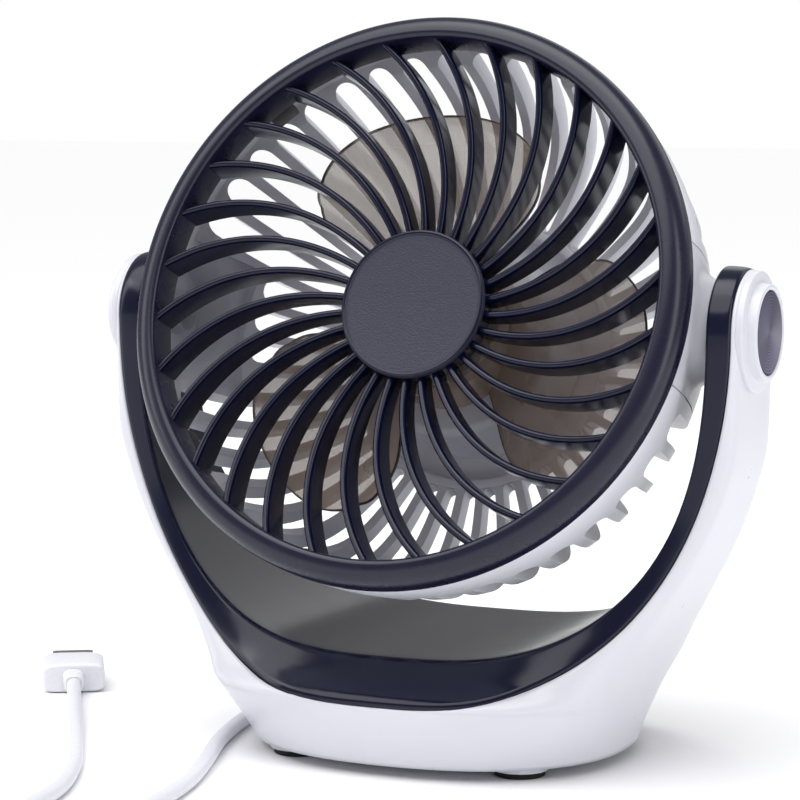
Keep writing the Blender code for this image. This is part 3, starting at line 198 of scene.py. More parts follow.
WHITE_ABS = moulded_abs("abs_white_polished", "#dcdce5", "#dadae3", (0.26, 0.34))
NAVY_ABS = moulded_abs("abs_navy_polished", "#070b26", "#090e29", (0.14, 0.22), 0.32)
NAVY_SATIN = moulded_abs("abs_navy_satin", "#12112a", "#15142c", (0.24, 0.32), 0.42)
print("three ABS finishes")

# %% [markdown]
# ### Leather-grain hub
#
# The hub cap's face comes from a tool etched with a leather grain: flat islands a little over
# half a millimetre across, parted by shallow creases. A Voronoi cell pattern is that grain,
# and the crease is where the distance to the cell's edge is small.

# %% Leather-grain ABS
GRAIN_HUB, tree, shader, place = start("abs_navy_leather_grain", Metallic=0.0, IOR=1.54,
                                       Base_Color=paint("#24243a"))
cells = add(tree, "ShaderNodeTexVoronoi", {"feature": "DISTANCE_TO_EDGE",
                                           "Scale": 1.0 / (0.75 * MM)}, {"Vector": place})
crease = ramp(tree, cells.outputs["Distance"], 0.0, 1.0, 0.0, 0.16)
speck = add(tree, "ShaderNodeTexNoise", {"Scale": 1.0 / (0.3 * MM)}, {"Vector": place})
tree.links.new(ramp(tree, speck.outputs["Fac"], 0.42, 0.6), shader.inputs["Roughness"])
bump = add(tree, "ShaderNodeBump", {"Strength": 0.55, "Distance": 0.12 * MM},
           {"Height": crease})
tree.links.new(bump.outputs["Normal"], shader.inputs["Normal"])
print("leather grain cells 0.75 mm")

# %% [markdown]
# ### Smoky polystyrene
#
# The blades are clear polystyrene with a brown smoke in it. The colour deepens where the eye
# looks along the wall, so the edges and the folds are darker than the flats.

# %% Smoky polystyrene
SMOKY_STYRENE, tree, shader, place = start("polystyrene_smoky_clear", Metallic=0.0, IOR=1.59,
                                           Roughness=0.12, Coat_Weight=0.2)
graze = add(tree, "ShaderNodeLayerWeight", {"Blend": 0.35})
flow = add(tree, "ShaderNodeTexNoise", {"Scale": 1.0 / (18.0 * MM), "Detail": 2.0},
           {"Vector": place})
depth = add(tree, "ShaderNodeMath", {"operation": "MULTIPLY_ADD"},
            {0: graze.outputs["Facing"]})
depth.inputs[1].default_value = 0.40
depth.inputs[2].default_value = 0.48
tree.links.new(depth.outputs[0], shader.inputs["Alpha"])
smoke = add(tree, "ShaderNodeValToRGB", {}, {"Fac": flow.outputs["Fac"]})
smoke.color_ramp.elements[0].position = 0.25
smoke.color_ramp.elements[0].color = paint("#a8937f")
smoke.color_ramp.elements[1].position = 0.75
smoke.color_ramp.elements[1].color = paint("#bda898")
tree.links.new(smoke.outputs["Color"], shader.inputs["Base Color"])
swirl = add(tree, "ShaderNodeBump", {"Strength": 0.04, "Distance": 1.0 * MM},
            {"Height": flow.outputs["Fac"]})
tree.links.new(swirl.outputs["Normal"], shader.inputs["Normal"])
print("smoky polystyrene, alpha from 0.48")

# %% [markdown]
# ### Metals
#
# The pivot caps are aluminium, spun against abrasive and then anodised dark: the fine rings
# stretch a highlight into a fan shape. The plug shell and the screws are nickel-plated steel,
# the contacts are gold over nickel, and the bushes are sintered bronze.

# %% Metals
SPUN_CAP, tree, shader, place = start("aluminium_spun_anodised", Metallic=1.0,
                                      Base_Color=paint("#4a4564"), Anisotropic=0.8)
rings = add(tree, "ShaderNodeTexWave", {"wave_type": "RINGS", "rings_direction": "Z",
                                        "Scale": 1.0 / (2.4 * MM), "Distortion": 0.4,
                                        "Detail": 3.0}, {"Vector": place})
tree.links.new(ramp(tree, rings.outputs["Fac"], 0.26, 0.42, 0.0, 1.0),
               shader.inputs["Roughness"])
spin = add(tree, "ShaderNodeBump", {"Strength": 0.25, "Distance": 0.03 * MM},
           {"Height": rings.outputs["Fac"]})
tree.links.new(spin.outputs["Normal"], shader.inputs["Normal"])
turning = add(tree, "ShaderNodeTangent", {"direction_type": "RADIAL", "axis": "Z"})
tree.links.new(turning.outputs["Tangent"], shader.inputs["Tangent"])


def worn_metal(name, shade, roughness, scale):
    material, tree, shader, place = start(name, Metallic=1.0, Base_Color=paint(shade))
    wear = add(tree, "ShaderNodeTexNoise", {"Scale": 1.0 / (scale * MM), "Detail": 4.0},
               {"Vector": place})
    low, high = roughness
    tree.links.new(ramp(tree, wear.outputs["Fac"], low, high), shader.inputs["Roughness"])
    dent = add(tree, "ShaderNodeBump", {"Strength": 0.08, "Distance": 0.05 * MM},
               {"Height": wear.outputs["Fac"]})
    tree.links.new(dent.outputs["Normal"], shader.inputs["Normal"])
    return material


NICKEL = worn_metal("steel_nickel_plated", "#d4d4d8", (0.12, 0.26), 3.0)
GOLD = worn_metal("contact_gold_flash", "#d9a85a", (0.18, 0.3), 1.0)
BRONZE = worn_metal("bronze_sintered", "#a9793f", (0.38, 0.55), 0.8)
COPPER = worn_metal("copper_drawn", "#b8653c", (0.2, 0.34), 1.5)
print("five metals")

# %% [markdown]
# ### Rubber, cable and the hidden pieces
#
# Rubber scatters light widely and has a fine bloom. The cable's jacket and the plug's grip are
# soft PVC, a little duller than the ABS. The board, magnet and switch inside are seen only
# through the slots, so a speckle at the right size is enough for them.

# %% Soft and hidden finishes
def speckled(name, shade, patch_shade, size, roughness, bump_depth):
    material, tree, shader, place = start(name, Metallic=0.0, IOR=1.5)
    grains = add(tree, "ShaderNodeTexNoise", {"Scale": 1.0 / (size * MM), "Detail": 3.0},
                 {"Vector": place})
    blend = add(tree, "ShaderNodeValToRGB", {}, {"Fac": grains.outputs["Fac"]})
    blend.color_ramp.elements[0].position = 0.3
    blend.color_ramp.elements[0].color = paint(shade)
    blend.color_ramp.elements[1].position = 0.7
    blend.color_ramp.elements[1].color = paint(patch_shade)
    tree.links.new(blend.outputs["Color"], shader.inputs["Base Color"])
    low, high = roughness
    tree.links.new(ramp(tree, grains.outputs["Fac"], low, high), shader.inputs["Roughness"])
    pits = add(tree, "ShaderNodeBump", {"Strength": 0.3, "Distance": bump_depth * MM},
               {"Height": grains.outputs["Fac"]})
    tree.links.new(pits.outputs["Normal"], shader.inputs["Normal"])
    return material


RUBBER = speckled("rubber_foot_black", "#0c0c0d", "#161617", 0.6, (0.7, 0.85), 0.06)
PVC = speckled("pvc_soft_white", "#e9e9ef", "#e4e4eb", 1.2, (0.36, 0.46), 0.02)
NYLON = speckled("nylon_black", "#121214", "#1b1b1e", 0.8, (0.4, 0.55), 0.03)
FERRITE = speckled("ferrite_pressed", "#2e2e31", "#3a3a3d", 0.4, (0.6, 0.75), 0.04)
BOARD = speckled("board_green_mask", "#0f4a26", "#145c30", 2.2, (0.3, 0.42), 0.02)
print("five soft or hidden finishes")

# %% [markdown]
# ## Making pieces
#
# A piece is a list of points and faces that rides on one body. Turned parts come from a
# profile of radius and height; a corner of the profile is rounded by an arc, because no
# moulded edge is perfectly sharp and a round edge is what catches the light.

# %% Mesh helpers
def piece(name, mesh_data, material, body, place=Matrix(), sharp=35.0):
    mesh = bpy.data.meshes.new(name)
    if isinstance(mesh_data, bmesh.types.BMesh):
        bmesh.ops.remove_doubles(mesh_data, verts=mesh_data.verts, dist=1e-6)
        bmesh.ops.recalc_face_normals(mesh_data, faces=mesh_data.faces)
        mesh_data.to_mesh(mesh)
        mesh_data.free()
    mesh.shade_smooth()
    mesh.set_sharp_from_angle(angle=math.radians(sharp))
    mesh.materials.append(material)
    made = bpy.data.objects.new(name, mesh)
    bpy.context.scene.collection.objects.link(made)
    made.matrix_world = place
    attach(made, body)
    return made


def rounded(corners, radius=0.4, steps=4):
    """A closed profile in millimetres with every corner cut back to an arc-like curve."""
    points = []
    count = len(corners)
    for i, corner in enumerate(corners):
        here = Vector(corner)
        before = Vector(corners[i - 1]) - here
        after = Vector(corners[(i + 1) % count]) - here
        if here.x < 1e-6 or before.length < 1e-6 or after.length < 1e-6:
            points.append(here)
            continue
        reach = min(radius, before.length * 0.45, after.length * 0.45)
        one = here + before.normalized() * reach
        two = here + after.normalized() * reach
        for step in range(steps + 1):
            t = step / steps
            points.append(one * (1 - t) ** 2 + here * 2 * t * (1 - t) + two * t ** 2)
    return points


def turned(profile, steps=128, bm=None):
    """Turn a closed profile of (radius, height) in millimetres about Z."""
    bm = bm or bmesh.new()
    columns = []
    for radius, height in profile:
        if radius < 1e-6:
            columns.append([bm.verts.new((0.0, 0.0, height * MM))] * steps)
            continue
        columns.append([bm.verts.new((radius * MM * math.cos(2.0 * math.pi * i / steps),
                                      radius * MM * math.sin(2.0 * math.pi * i / steps),
                                      height * MM)) for i in range(steps)])
    for index, here in enumerate(columns):
        there = columns[(index + 1) % len(columns)]
        for i in range(steps):
            j = (i + 1) % steps
            corners = list(dict.fromkeys((here[i], here[j], there[j], there[i])))
            if len(corners) > 2:
                bm.faces.new(corners)
    return bm


def skin(bm, rows, closed=False):
    """Join rows of points, in millimetres, with quads."""
    made = [[bm.verts.new(Vector(p) * MM) for p in row] for row in rows]
    for low, high in zip(made, made[1:]):
        last = len(low) if closed else len(low) - 1
        for i in range(last):
            j = (i + 1) % len(low)
            corners = (low[i], low[j], high[j], high[i])
            bm.faces.new(corners)
    return made


def side_place(side):
    """A turned piece whose axis runs outwards along X, at the pivot."""
    return (Matrix.Translation((0.0, PIVOT.y, PIVOT.z))
            @ Matrix.Rotation(math.radians(90.0 * side), 4, "Y"))


SIDES = ((-1, "left"), (1, "right"))
print("mesh helpers ready")

# %% [markdown]
# ## The cable
#
# About 1.2 m of 4 mm round cable leaves the strain relief at the back. Most of it is stored in
# a flat coil behind the base, three turns wide and two high. From there it runs past the
# base's left side, turns in a loose loop and comes back to the plug, which lies on the desk.
# The route is one smooth curve through listed points.

# %% Cable route
CABLE_RADIUS = 2.0
COIL_CENTRE = (-46.0, 112.0)
COIL_COLUMNS = (26.0, 22.0, 18.0)
COIL_LAYERS = (2.15, 6.25)
LEAD_ROUTE = (
    (-20.0, 60.0, 12.0), (-20.0, 66.3, 12.0), (-20.0, 71.0, 11.6), (-20.0, 77.0, 9.6),
    (-20.0, 83.0, 6.4), (-20.0, 89.0, 3.6), (-20.0, 96.9, 2.2),
)
RUN_ROUTE = (
    (-72.0, 96.9, 4.6), (-71.8, 88.0, 3.0), (-70.8, 78.0, 2.2), (-67.5, 60.0, 2.15),
    (-63.0, 40.0, 2.15), (-59.5, 20.0, 2.15), (-57.0, 0.0, 2.15), (-52.0, -22.0, 2.15),
    (-44.5, -44.0, 2.15), (-38.0, -66.0, 2.15), (-35.0, -88.0, 2.15), (-34.5, -105.0, 2.15),
    (-39.0, -118.0, 2.15), (-49.0, -123.5, 2.15), (-58.5, -116.5, 2.15),
    (-61.0, -103.0, 2.15), (-64.0, -84.0, 2.15), (-72.5, -62.5, 2.15), (-85.0, -40.0, 2.2),
    (-98.0, -18.0, 2.9), (-108.5, -0.3, 4.0), (-117.35, 14.74, 4.3),
)


def coil_points():
    """Three turns inwards on the desk, then two and a half outwards on top of them."""
    radii = [COIL_COLUMNS[0], COIL_COLUMNS[1], COIL_COLUMNS[2], COIL_COLUMNS[2],
             COIL_COLUMNS[1], COIL_COLUMNS[0]]
    heights = [COIL_LAYERS[0]] * 3 + [COIL_LAYERS[1]] * 3
    per_turn = 48
    points = []
    for step in range(1, int(5.5 * per_turn)):
        turn, share = divmod(step / per_turn, 1.0)
        turn = int(turn)
        cross = max(0.0, min(1.0, (share - 0.80) / 0.20))
        cross = cross * cross * (3.0 - 2.0 * cross)
        later = min(turn + 1, 5)
        radius = radii[turn] + (radii[later] - radii[turn]) * cross
        height = heights[turn] + (heights[later] - heights[turn]) * cross
        angle = 2.0 * math.pi * share
        points.append((COIL_CENTRE[0] + radius * math.cos(angle),
                       COIL_CENTRE[1] + radius * math.sin(angle), height))
    return points


def smooth(points, per_span=8):
    ends = [Vector(p) for p in points]
    ends = [2 * ends[0] - ends[1]] + ends + [2 * ends[-1] - ends[-2]]
    fine = []
    for a, b, c, d in zip(ends, ends[1:], ends[2:], ends[3:]):
        for step in range(per_span):
            t = step / per_span
            fine.append(0.5 * (2 * b + (c - a) * t + (2 * a - 5 * b + 4 * c - d) * t ** 2
                               + (3 * b - a - 3 * c + d) * t ** 3))
    return fine + [ends[-2]]


def evened(points, gap):
    """The same line with a steady distance between its points."""
    total = sum((b - a).length for a, b in zip(points, points[1:]))
    count = max(2, round(total / gap))
    kept = [points[0]]
    gone = 0.0
    for a, b in zip(points, points[1:]):
        span = (b - a).length
        while len(kept) < count and gone + span >= len(kept) * total / count:
            kept.append(a.lerp(b, (len(kept) * total / count - gone) / span))
        gone += span
    return kept + [points[-1]], total


route = smooth(LEAD_ROUTE) + smooth(coil_points(), 2) + smooth(RUN_ROUTE)
route, cable_length = evened(route, 1.6)
curve = bpy.data.curves.new("usb_cable", "CURVE")
curve.dimensions = "3D"
curve.bevel_depth = CABLE_RADIUS * MM
curve.bevel_resolution = 6
curve.use_fill_caps = True
spline = curve.splines.new("POLY")
spline.points.add(len(route) - 1)
for point, spot in zip(spline.points, route):
    point.co = (*(STAND @ (spot * MM)), 1.0)
curve.materials.append(PVC)
cable = bpy.data.objects.new("usb_cable", curve)
bpy.context.scene.collection.objects.link(cable)
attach(cable, "stand")
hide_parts("cord_lead", "cord_coil", "cord_run")
print("cable", round(cable_length), "mm in", len(route), "points")

# %% [markdown]
# ## The plug
#
# A USB-A plug: a folded steel shell with two windows, an insulating tongue with four gold
# contacts, a moulded grip and a short stepped neck with two dimples on its upper flat side. It lies
# flat, so its width is level. Its outline is a superellipse, which is a rounded rectangle that
# one number makes squarer.

# %% Plug
PLUG_START = (-117.5, 15.0, 4.3)
PLUG_TURN = 30.5
NECK_LENGTH = 8.3
FIT_GAP = 0.3
GRIP_WIDTH, GRIP_LENGTH, GRIP_HEIGHT = 17.7, 18.6, 8.4
SHELL_WIDTH, SHELL_LENGTH, SHELL_HEIGHT = 12.0, 12.0, 4.5
SHELL_SHEET = 0.45
PLUG = (STAND @ Matrix.Translation(Vector(PLUG_START) * MM)
        @ Matrix.Rotation(math.radians(PLUG_TURN), 4, "Z"))


def loop_at(y, half_width, half_height, power, count=64):
    points = []
    for i in range(count):
        turn = 2.0 * math.pi * (i + 0.5) / count
        c, s = math.cos(turn), math.sin(turn)
        points.append((math.copysign(half_width * abs(c) ** (2.0 / power), c), y,
                       math.copysign(half_height * abs(s) ** (2.0 / power), s)))
    return points


def capped_loft(rows):
    bm = bmesh.new()
    made = skin(bm, rows, closed=True)
    bm.faces.new(list(reversed(made[0])))
    bm.faces.new(made[-1])
    return bm


def cut(target_piece, tool_bm, name):
    """Take a tool's volume away for good, so no modifier is left."""
    mesh = bpy.data.meshes.new(name)
    bmesh.ops.recalc_face_normals(tool_bm, faces=tool_bm.faces)
    tool_bm.to_mesh(mesh)
    tool_bm.free()
    tool = bpy.data.objects.new(name, mesh)
    bpy.context.scene.collection.objects.link(tool)
    tool.matrix_world = target_piece.matrix_world
    step = target_piece.modifiers.new("cut", "BOOLEAN")
    step.operation = "DIFFERENCE"
    step.object = tool
    step.solver = "EXACT"
    bpy.context.view_layer.update()
    settled = bpy.data.meshes.new_from_object(
        target_piece.evaluated_get(bpy.context.evaluated_depsgraph_get()))
    target_piece.modifiers.clear()
    target_piece.data = settled
    bpy.data.objects.remove(tool)
    return target_piece


def box_tool(bm, size, centre):
    made = bmesh.ops.create_cube(bm, size=1.0)["verts"]
    bmesh.ops.scale(bm, vec=Vector(size) * MM, verts=made)
    bmesh.ops.translate(bm, vec=Vector(centre) * MM, verts=made)


neck_rows = []
for y, w, h in ((0.0, 2.3, 2.2), (0.3, 2.6, 2.45), (3.4, 2.75, 2.6), (3.6, 2.45, 2.35),
                (4.2, 2.45, 2.35), (4.4, 2.85, 2.65), (NECK_LENGTH - 0.3, 3.1, 2.85),
                (NECK_LENGTH, 3.0, 2.75)):
    neck_rows.append(loop_at(y, w, h, 3.0, 48))
neck = piece("plug_neck_moulding", capped_loft(neck_rows), PVC, "stand", PLUG)
dimples = bmesh.new()
for x in (-1.3, 1.3):
    bmesh.ops.create_uvsphere(dimples, u_segments=16, v_segments=10, radius=0.55 * MM,
                              matrix=Matrix.Translation(Vector((x, 6.2, 2.95)) * MM))
cut(neck, dimples, "neck_dimples")
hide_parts("plug_neck")

grip_start = NECK_LENGTH + FIT_GAP
grip_rows = []
for share, w, h in ((0.0, 0.90, 0.80), (0.012, 0.955, 0.90), (0.035, 0.985, 0.96),
                    (0.08, 1.0, 0.995), (0.5, 1.0, 1.0), (0.92, 1.0, 0.995),
                    (0.965, 0.985, 0.96), (0.988, 0.955, 0.90), (1.0, 0.90, 0.80)):
    grip_rows.append(loop_at(grip_start + share * GRIP_LENGTH, GRIP_WIDTH / 2 * w,
                             GRIP_HEIGHT / 2 * h, 5.0, 96))
grip = piece("plug_grip_moulding", capped_loft(grip_rows), PVC, "stand", PLUG)
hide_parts("plug_grip")

shell_start = grip_start + GRIP_LENGTH + FIT_GAP
shell_rows = [loop_at(shell_start, SHELL_WIDTH / 2, SHELL_HEIGHT / 2, 14.0, 96),
              loop_at(shell_start + SHELL_LENGTH - 0.3, SHELL_WIDTH / 2, SHELL_HEIGHT / 2, 14.0,
                      96),
              loop_at(shell_start + SHELL_LENGTH, SHELL_WIDTH / 2 - 0.2, SHELL_HEIGHT / 2 - 0.2,
                      14.0, 96)]
plug_shell = piece("plug_shell_folded", capped_loft(shell_rows), NICKEL, "stand", PLUG)
bore = bmesh.new()
made = skin(bore, [loop_at(shell_start + 0.5, SHELL_WIDTH / 2 - SHELL_SHEET,
                           SHELL_HEIGHT / 2 - SHELL_SHEET, 14.0, 96),
                   loop_at(shell_start + SHELL_LENGTH + 2.0, SHELL_WIDTH / 2 - SHELL_SHEET,
                           SHELL_HEIGHT / 2 - SHELL_SHEET, 14.0, 96)], closed=True)
bore.faces.new(list(reversed(made[0])))
bore.faces.new(made[1])
cut(plug_shell, bore, "plug_bore")
windows = bmesh.new()
for x in (-3.3, 3.3):
    box_tool(windows, (2.2, 2.2, 20.0), (x, shell_start + SHELL_LENGTH - 5.2, 0.0))
box_tool(windows, (1.6, 0.7, 6.0), (0.0, shell_start + 1.2, 3.0))
cut(plug_shell, windows, "plug_windows")
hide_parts("plug_shell")
print("plug is", round(NECK_LENGTH + GRIP_LENGTH + SHELL_LENGTH + 0.6, 1), "mm long")

# %% [markdown]
# ## The stand's form
#
# The stand is one smooth form: a wide rounded base that draws in to two flat arms with round
# ends. Each level is a superellipse. A few levels are listed and a smooth curve runs
# through them, which is how a designer's section curves work.

# %% Sections of the stand
# Height, half width, front, rear, and how square the outline is along X and along Y
SECTIONS = (
    (3.0, 50.5, 35.0, 51.0, 2.3, 2.3), (7.0, 51.6, 37.5, 52.8, 2.4, 2.4),
    (12.5, 53.3, 39.6, 54.0, 2.7, 2.7), (19.5, 55.6, 40.6, 54.0, 3.4, 3.4),
    (25.5, 57.8, 33.5, 50.5, 4.8, 4.8), (32.5, 60.8, 27.5, 44.5, 7.0, 7.0),
    (43.0, 67.2, 21.5, 34.0, 14.0, 10.0), (55.0, 74.7, 18.3, 25.0, 26.0, 12.0),
    (70.0, 81.8, 16.6, 18.6, 40.0, 12.0), (85.0, 85.8, 16.3, 16.5, 40.0, 12.0),
    (PIVOT_Z, 86.5, 16.3, 16.3, 40.0, 12.0),
)


def section(height):
    """Half width, front, rear and the two powers at a height, on a monotone smooth curve."""
    height = max(SECTIONS[0][0], min(SECTIONS[-1][0], height))
    k = max(i for i in range(len(SECTIONS) - 1) if SECTIONS[i][0] <= height)
    low, high = SECTIONS[k], SECTIONS[k + 1]
    span = high[0] - low[0]
    t = (height - low[0]) / span
    values = []
    for column in range(1, 6):
        slopes = []
        for i in (k, k + 1):
            ahead = behind = None
            if i + 1 < len(SECTIONS):
                ahead = ((SECTIONS[i + 1][column] - SECTIONS[i][column])
                         / (SECTIONS[i + 1][0] - SECTIONS[i][0]))
            if i > 0:
                behind = ((SECTIONS[i][column] - SECTIONS[i - 1][column])
                          / (SECTIONS[i][0] - SECTIONS[i - 1][0]))
            if ahead is None or behind is None:
                slopes.append(ahead if behind is None else behind)
            elif ahead * behind <= 0.0:
                slopes.append(0.0)
            else:
                slopes.append(2.0 * ahead * behind / (ahead + behind))
        a, b = low[column], high[column]
        value = (2 * t ** 3 - 3 * t ** 2 + 1) * a + (3 * t ** 2 - 2 * t ** 3) * b
        value += (t ** 3 - 2 * t ** 2 + t) * span * slopes[0]
        value += (t ** 3 - t ** 2) * span * slopes[1]
        values.append(value)
    return values


def face_y(x, height):
    """Y of the form's front and rear faces at a point across it."""
    half, front, rear, px, py = section(height)
    rest = max(0.0, 1.0 - min(1.0, abs(x) / half) ** px) ** (1.0 / py)
    middle, depth = (rear - front) / 2.0, (rear + front) / 2.0
    return middle - depth * rest, middle + depth * rest


INNER_U = (78.2, 83.0, 2.9, 2.4)
SEAM_U = (84.4, 93.5, 2.7, 1.95)


def on_u(shape, turn):
    """A point of a U curve: 0 is the right arm at the pivot and 90 degrees is the bottom."""
    half, deep, px, pz = shape
    c, s = math.cos(turn), math.sin(turn)
    return (math.copysign(half * abs(c) ** (2.0 / px), c),
            PIVOT_Z - deep * abs(s) ** (2.0 / pz))


print("the base is", round(section(12.0)[0] * 2, 1), "mm wide at 12 mm up")

# %% [markdown]
# ## The navy liner
#
# The liner is a channel: a front face, the tray that becomes the arms' inner faces, and a rear
# face. It follows two U curves, one at its inner edge and one at the seam with the white
# shell. A grid of quads laid along those curves puts a clean edge exactly on the seam, which a
# Boolean cut would leave ragged. Above the pivot the same section turns about the pivot axis.

# %% Liner
LIP_RADIUS = 1.3
STAND_WALL = 1.8


def liner_section(inner, seam):
    """One cross-section from the front seam, over the lip, along the tray to the rear seam."""
    (xi, zi), (xs, zs) = inner, seam
    steps = 7
    faces = []
    for which in (0, 1):
        faces.append([(xs + (xi - xs) * i / steps,
                       face_y(xs + (xi - xs) * i / steps, zs + (zi - zs) * i / steps)[which],
                       zs + (zi - zs) * i / steps) for i in range(steps + 1)])
    front = [Vector(p) for p in faces[0]]
    rear = [Vector(p) for p in reversed(faces[1])]
    tray = [front[-1].lerp(rear[0], i / 18) for i in range(19)]
    return (front[:-1] + lip(front[-2], front[-1], tray[1]) + tray[1:-1]
            + lip(tray[-2], rear[0], rear[1]) + rear[1:])


def lip(before, corner, after):
    """A corner of the channel, rounded between its two neighbours."""
    one = corner + (before - corner).normalized() * min(LIP_RADIUS, (before - corner).length * 0.9)
    two = corner + (after - corner).normalized() * min(LIP_RADIUS, (after - corner).length * 0.9)
    return [one * (1 - t) ** 2 + corner * 2 * t * (1 - t) + two * t ** 2
            for t in (0.0, 0.25, 0.5, 0.75, 1.0)]


def over_the_tip(points, angle):
    """Turn a section at the pivot's height about the pivot axis, front and rear together."""
    turned_points = []
    for p in points:
        reach = abs(p[1])
        side = -1.0 if p[1] < 0.0 else 1.0
        turned_points.append(Vector((p[0], side * reach * math.cos(angle),
                                     PIVOT_Z + reach * math.sin(angle))))
    return turned_points


TIP_TURNS = [math.radians(90.0 * i / 14) for i in range(14, 0, -1)]
U_TURNS = [math.pi * i / 72 for i in range(73)]
right_start = liner_section(on_u(INNER_U, 0.0), on_u(SEAM_U, 0.0))
left_start = liner_section(on_u(INNER_U, math.pi), on_u(SEAM_U, math.pi))
rows = [over_the_tip(right_start, a) for a in TIP_TURNS]
rows += [liner_section(on_u(INNER_U, t), on_u(SEAM_U, t)) for t in U_TURNS]
rows += [over_the_tip(left_start, a) for a in reversed(TIP_TURNS)]
bm = bmesh.new()
skin(bm, rows)
liner = piece("stand_liner_moulding", bm, NAVY_ABS, "stand", STAND, sharp=50.0)
wall = liner.modifiers.new("wall", "SOLIDIFY")
wall.thickness = STAND_WALL * MM
wall.offset = -1.0
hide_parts("stand_liner")
print("liner", len(liner.data.polygons), "quads")

# %% [markdown]
# ## The white shell
#
# The shell is the rest of the form. Each level runs round the outside from the front seam to
# the rear seam, so its rows start where the liner's end. Below the seam's lowest point the two
# halves meet and the rows go all the way round.

# %% Shell
SEAM_GAP = 0.35


def outline_from(x_start, height, side, count=44):
    """Points round one side of a level, evenly spaced, from the front seam to the rear."""
    half, front, rear, px, py = section(height)
    middle, depth = (rear - front) / 2.0, (rear + front) / 2.0
    share = min(1.0, max(0.0, x_start / half))
    edge = math.acos(min(1.0, share ** (px / 2.0)))
    fine = []
    for i in range(401):
        turn = -edge + 2.0 * edge * i / 400
        c, s = max(0.0, math.cos(turn)), math.sin(turn)
        fine.append(Vector((side * half * c ** (2.0 / px),
                            middle + math.copysign(depth * abs(s) ** (2.0 / py), s), height)))
    even, _ = evened(fine, sum((b - a).length for a, b in zip(fine, fine[1:])) / count)
    return even[:count] + [even[-1]]


def shell_rows(side):
    rows = []
    gap_u = (SEAM_U[0] + SEAM_GAP, SEAM_U[1] + SEAM_GAP, SEAM_U[2], SEAM_U[3])
    bottom = PIVOT_Z - gap_u[1]
    for i in range(14):
        rows.append(outline_from(0.0, 3.0 + (bottom - 3.0) * i / 14, side))
    for i in range(44):
        turn = math.pi / 2.0 * (1.0 - i / 44)
        x, z = on_u(gap_u, turn)
        rows.append(outline_from(max(0.0, x), z, side))
    top = outline_from(gap_u[0], PIVOT_Z, side)
    rows.append(top)
    rows += [over_the_tip(top, a) for a in reversed(TIP_TURNS)]
    return rows


bm = bmesh.new()
for side, _ in SIDES:
    skin(bm, shell_rows(side))
bmesh.ops.remove_doubles(bm, verts=bm.verts, dist=2e-5)
shell = piece("stand_shell_moulding", bm, WHITE_ABS, "stand", STAND, sharp=50.0)
wall = shell.modifiers.new("wall", "SOLIDIFY")
wall.thickness = STAND_WALL * MM
wall.offset = -1.0
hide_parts("stand_shell")
print("shell", len(shell.data.polygons), "faces")

# %% [markdown]
# ## Pivot bosses and caps
#
# Each arm carries a stepped white boss, and a spun aluminium cap closes it. They are turned
# shapes with small round edges. A little tab at the cap's front edge is where a tool lifts it.

# %% Pivots
for side, word in SIDES:
    profile = rounded(((7.0, 85.4), (15.2, 85.4), (15.2, 87.3), (12.3, 87.3), (12.0, 89.9),
                       (10.6, 89.9), (10.6, 88.4), (7.0, 88.4)), 0.45)
    boss = piece(f"pivot_boss_{word}_turned", turned(profile), WHITE_ABS, "stand",
                 side_place(side))
    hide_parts(f"pivot_boss_{word}")
    profile = rounded(((0.0, 88.6), (10.35, 88.6), (10.35, 89.75), (0.0, 89.75)), 0.2)
    cap = piece(f"pivot_cap_{word}_spun", turned(profile, 160), SPUN_CAP, "stand",
                side_place(side))
    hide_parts(f"pivot_cap_{word}")
    tab = bmesh.new()
    box_tool(tab, (1.0, 1.6, 2.6), (0.0, 0.0, 0.0))
    bmesh.ops.bevel(tab, geom=tab.edges[:], offset=0.25 * MM, segments=3, profile=0.5,
                    affect="EDGES")
    piece(f"pivot_cap_tab_{word}", tab, NYLON, "stand",
          Matrix.Translation(Vector((side * 89.35, PIVOT.y / MM - 10.6, PIVOT_Z)) * MM))
print("bosses and caps on both arms")

# %% [markdown]
# ## Base, feet, knob and strain relief
#
# The feet are rubber pads on white bosses. The speed knob has shallow grip flutes: its radius
# rises and falls with a cosine. The strain relief is a tapered sleeve with grooves round it.

# %% Feet
for word in ("front_left", "front_right", "rear_left", "rear_right"):
    low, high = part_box(f"foot_{word}")
    centre = (low + high) / 2.0
    profile = rounded(((0.0, 0.0), (6.5, 0.0), (6.5, high.z / MM), (0.0, high.z / MM)), 0.4)
    foot = piece(f"foot_pad_{word}", turned(profile, 64), RUBBER, "stand",
                 Matrix.Translation((centre.x, centre.y, 0.0)))
    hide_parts(f"foot_{word}")
print("four feet", round(high.z / MM, 2), "mm thick")

# %% Knob
knob_low, knob_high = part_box("speed_knob")
knob_centre = (knob_low + knob_high) / 2.0
knob_place = (Matrix.Translation((knob_centre.x, knob_low.y, knob_centre.z))
              @ Matrix.Rotation(math.radians(-90.0), 4, "X"))
bm = bmesh.new()
profile = rounded(((0.0, 0.1), (7.9, 0.1), (7.6, 6.4), (6.2, 6.4), (5.9, 6.0), (0.0, 6.0)), 0.5)
turned(profile, 144, bm)
for vert in bm.verts:
    radius = math.hypot(vert.co.x, vert.co.y) / MM
    if radius > 6.9 and vert.co.z > 0.6 * MM:
        flute = 0.5 + 0.5 * math.cos(18.0 * math.atan2(vert.co.y, vert.co.x))
        vert.co.x *= 1.0 - 0.045 * flute
        vert.co.y *= 1.0 - 0.045 * flute
knob = piece("speed_knob_fluted", bm, NAVY_SATIN, "knob", knob_place)
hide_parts("speed_knob")
pointer = bmesh.new()
box_tool(pointer, (0.7, 3.0, 0.3), (0.0, 4.0, 6.05))
piece("speed_knob_pointer", pointer, WHITE_ABS, "knob", knob_place)
print("knob 16 mm across with 18 flutes")

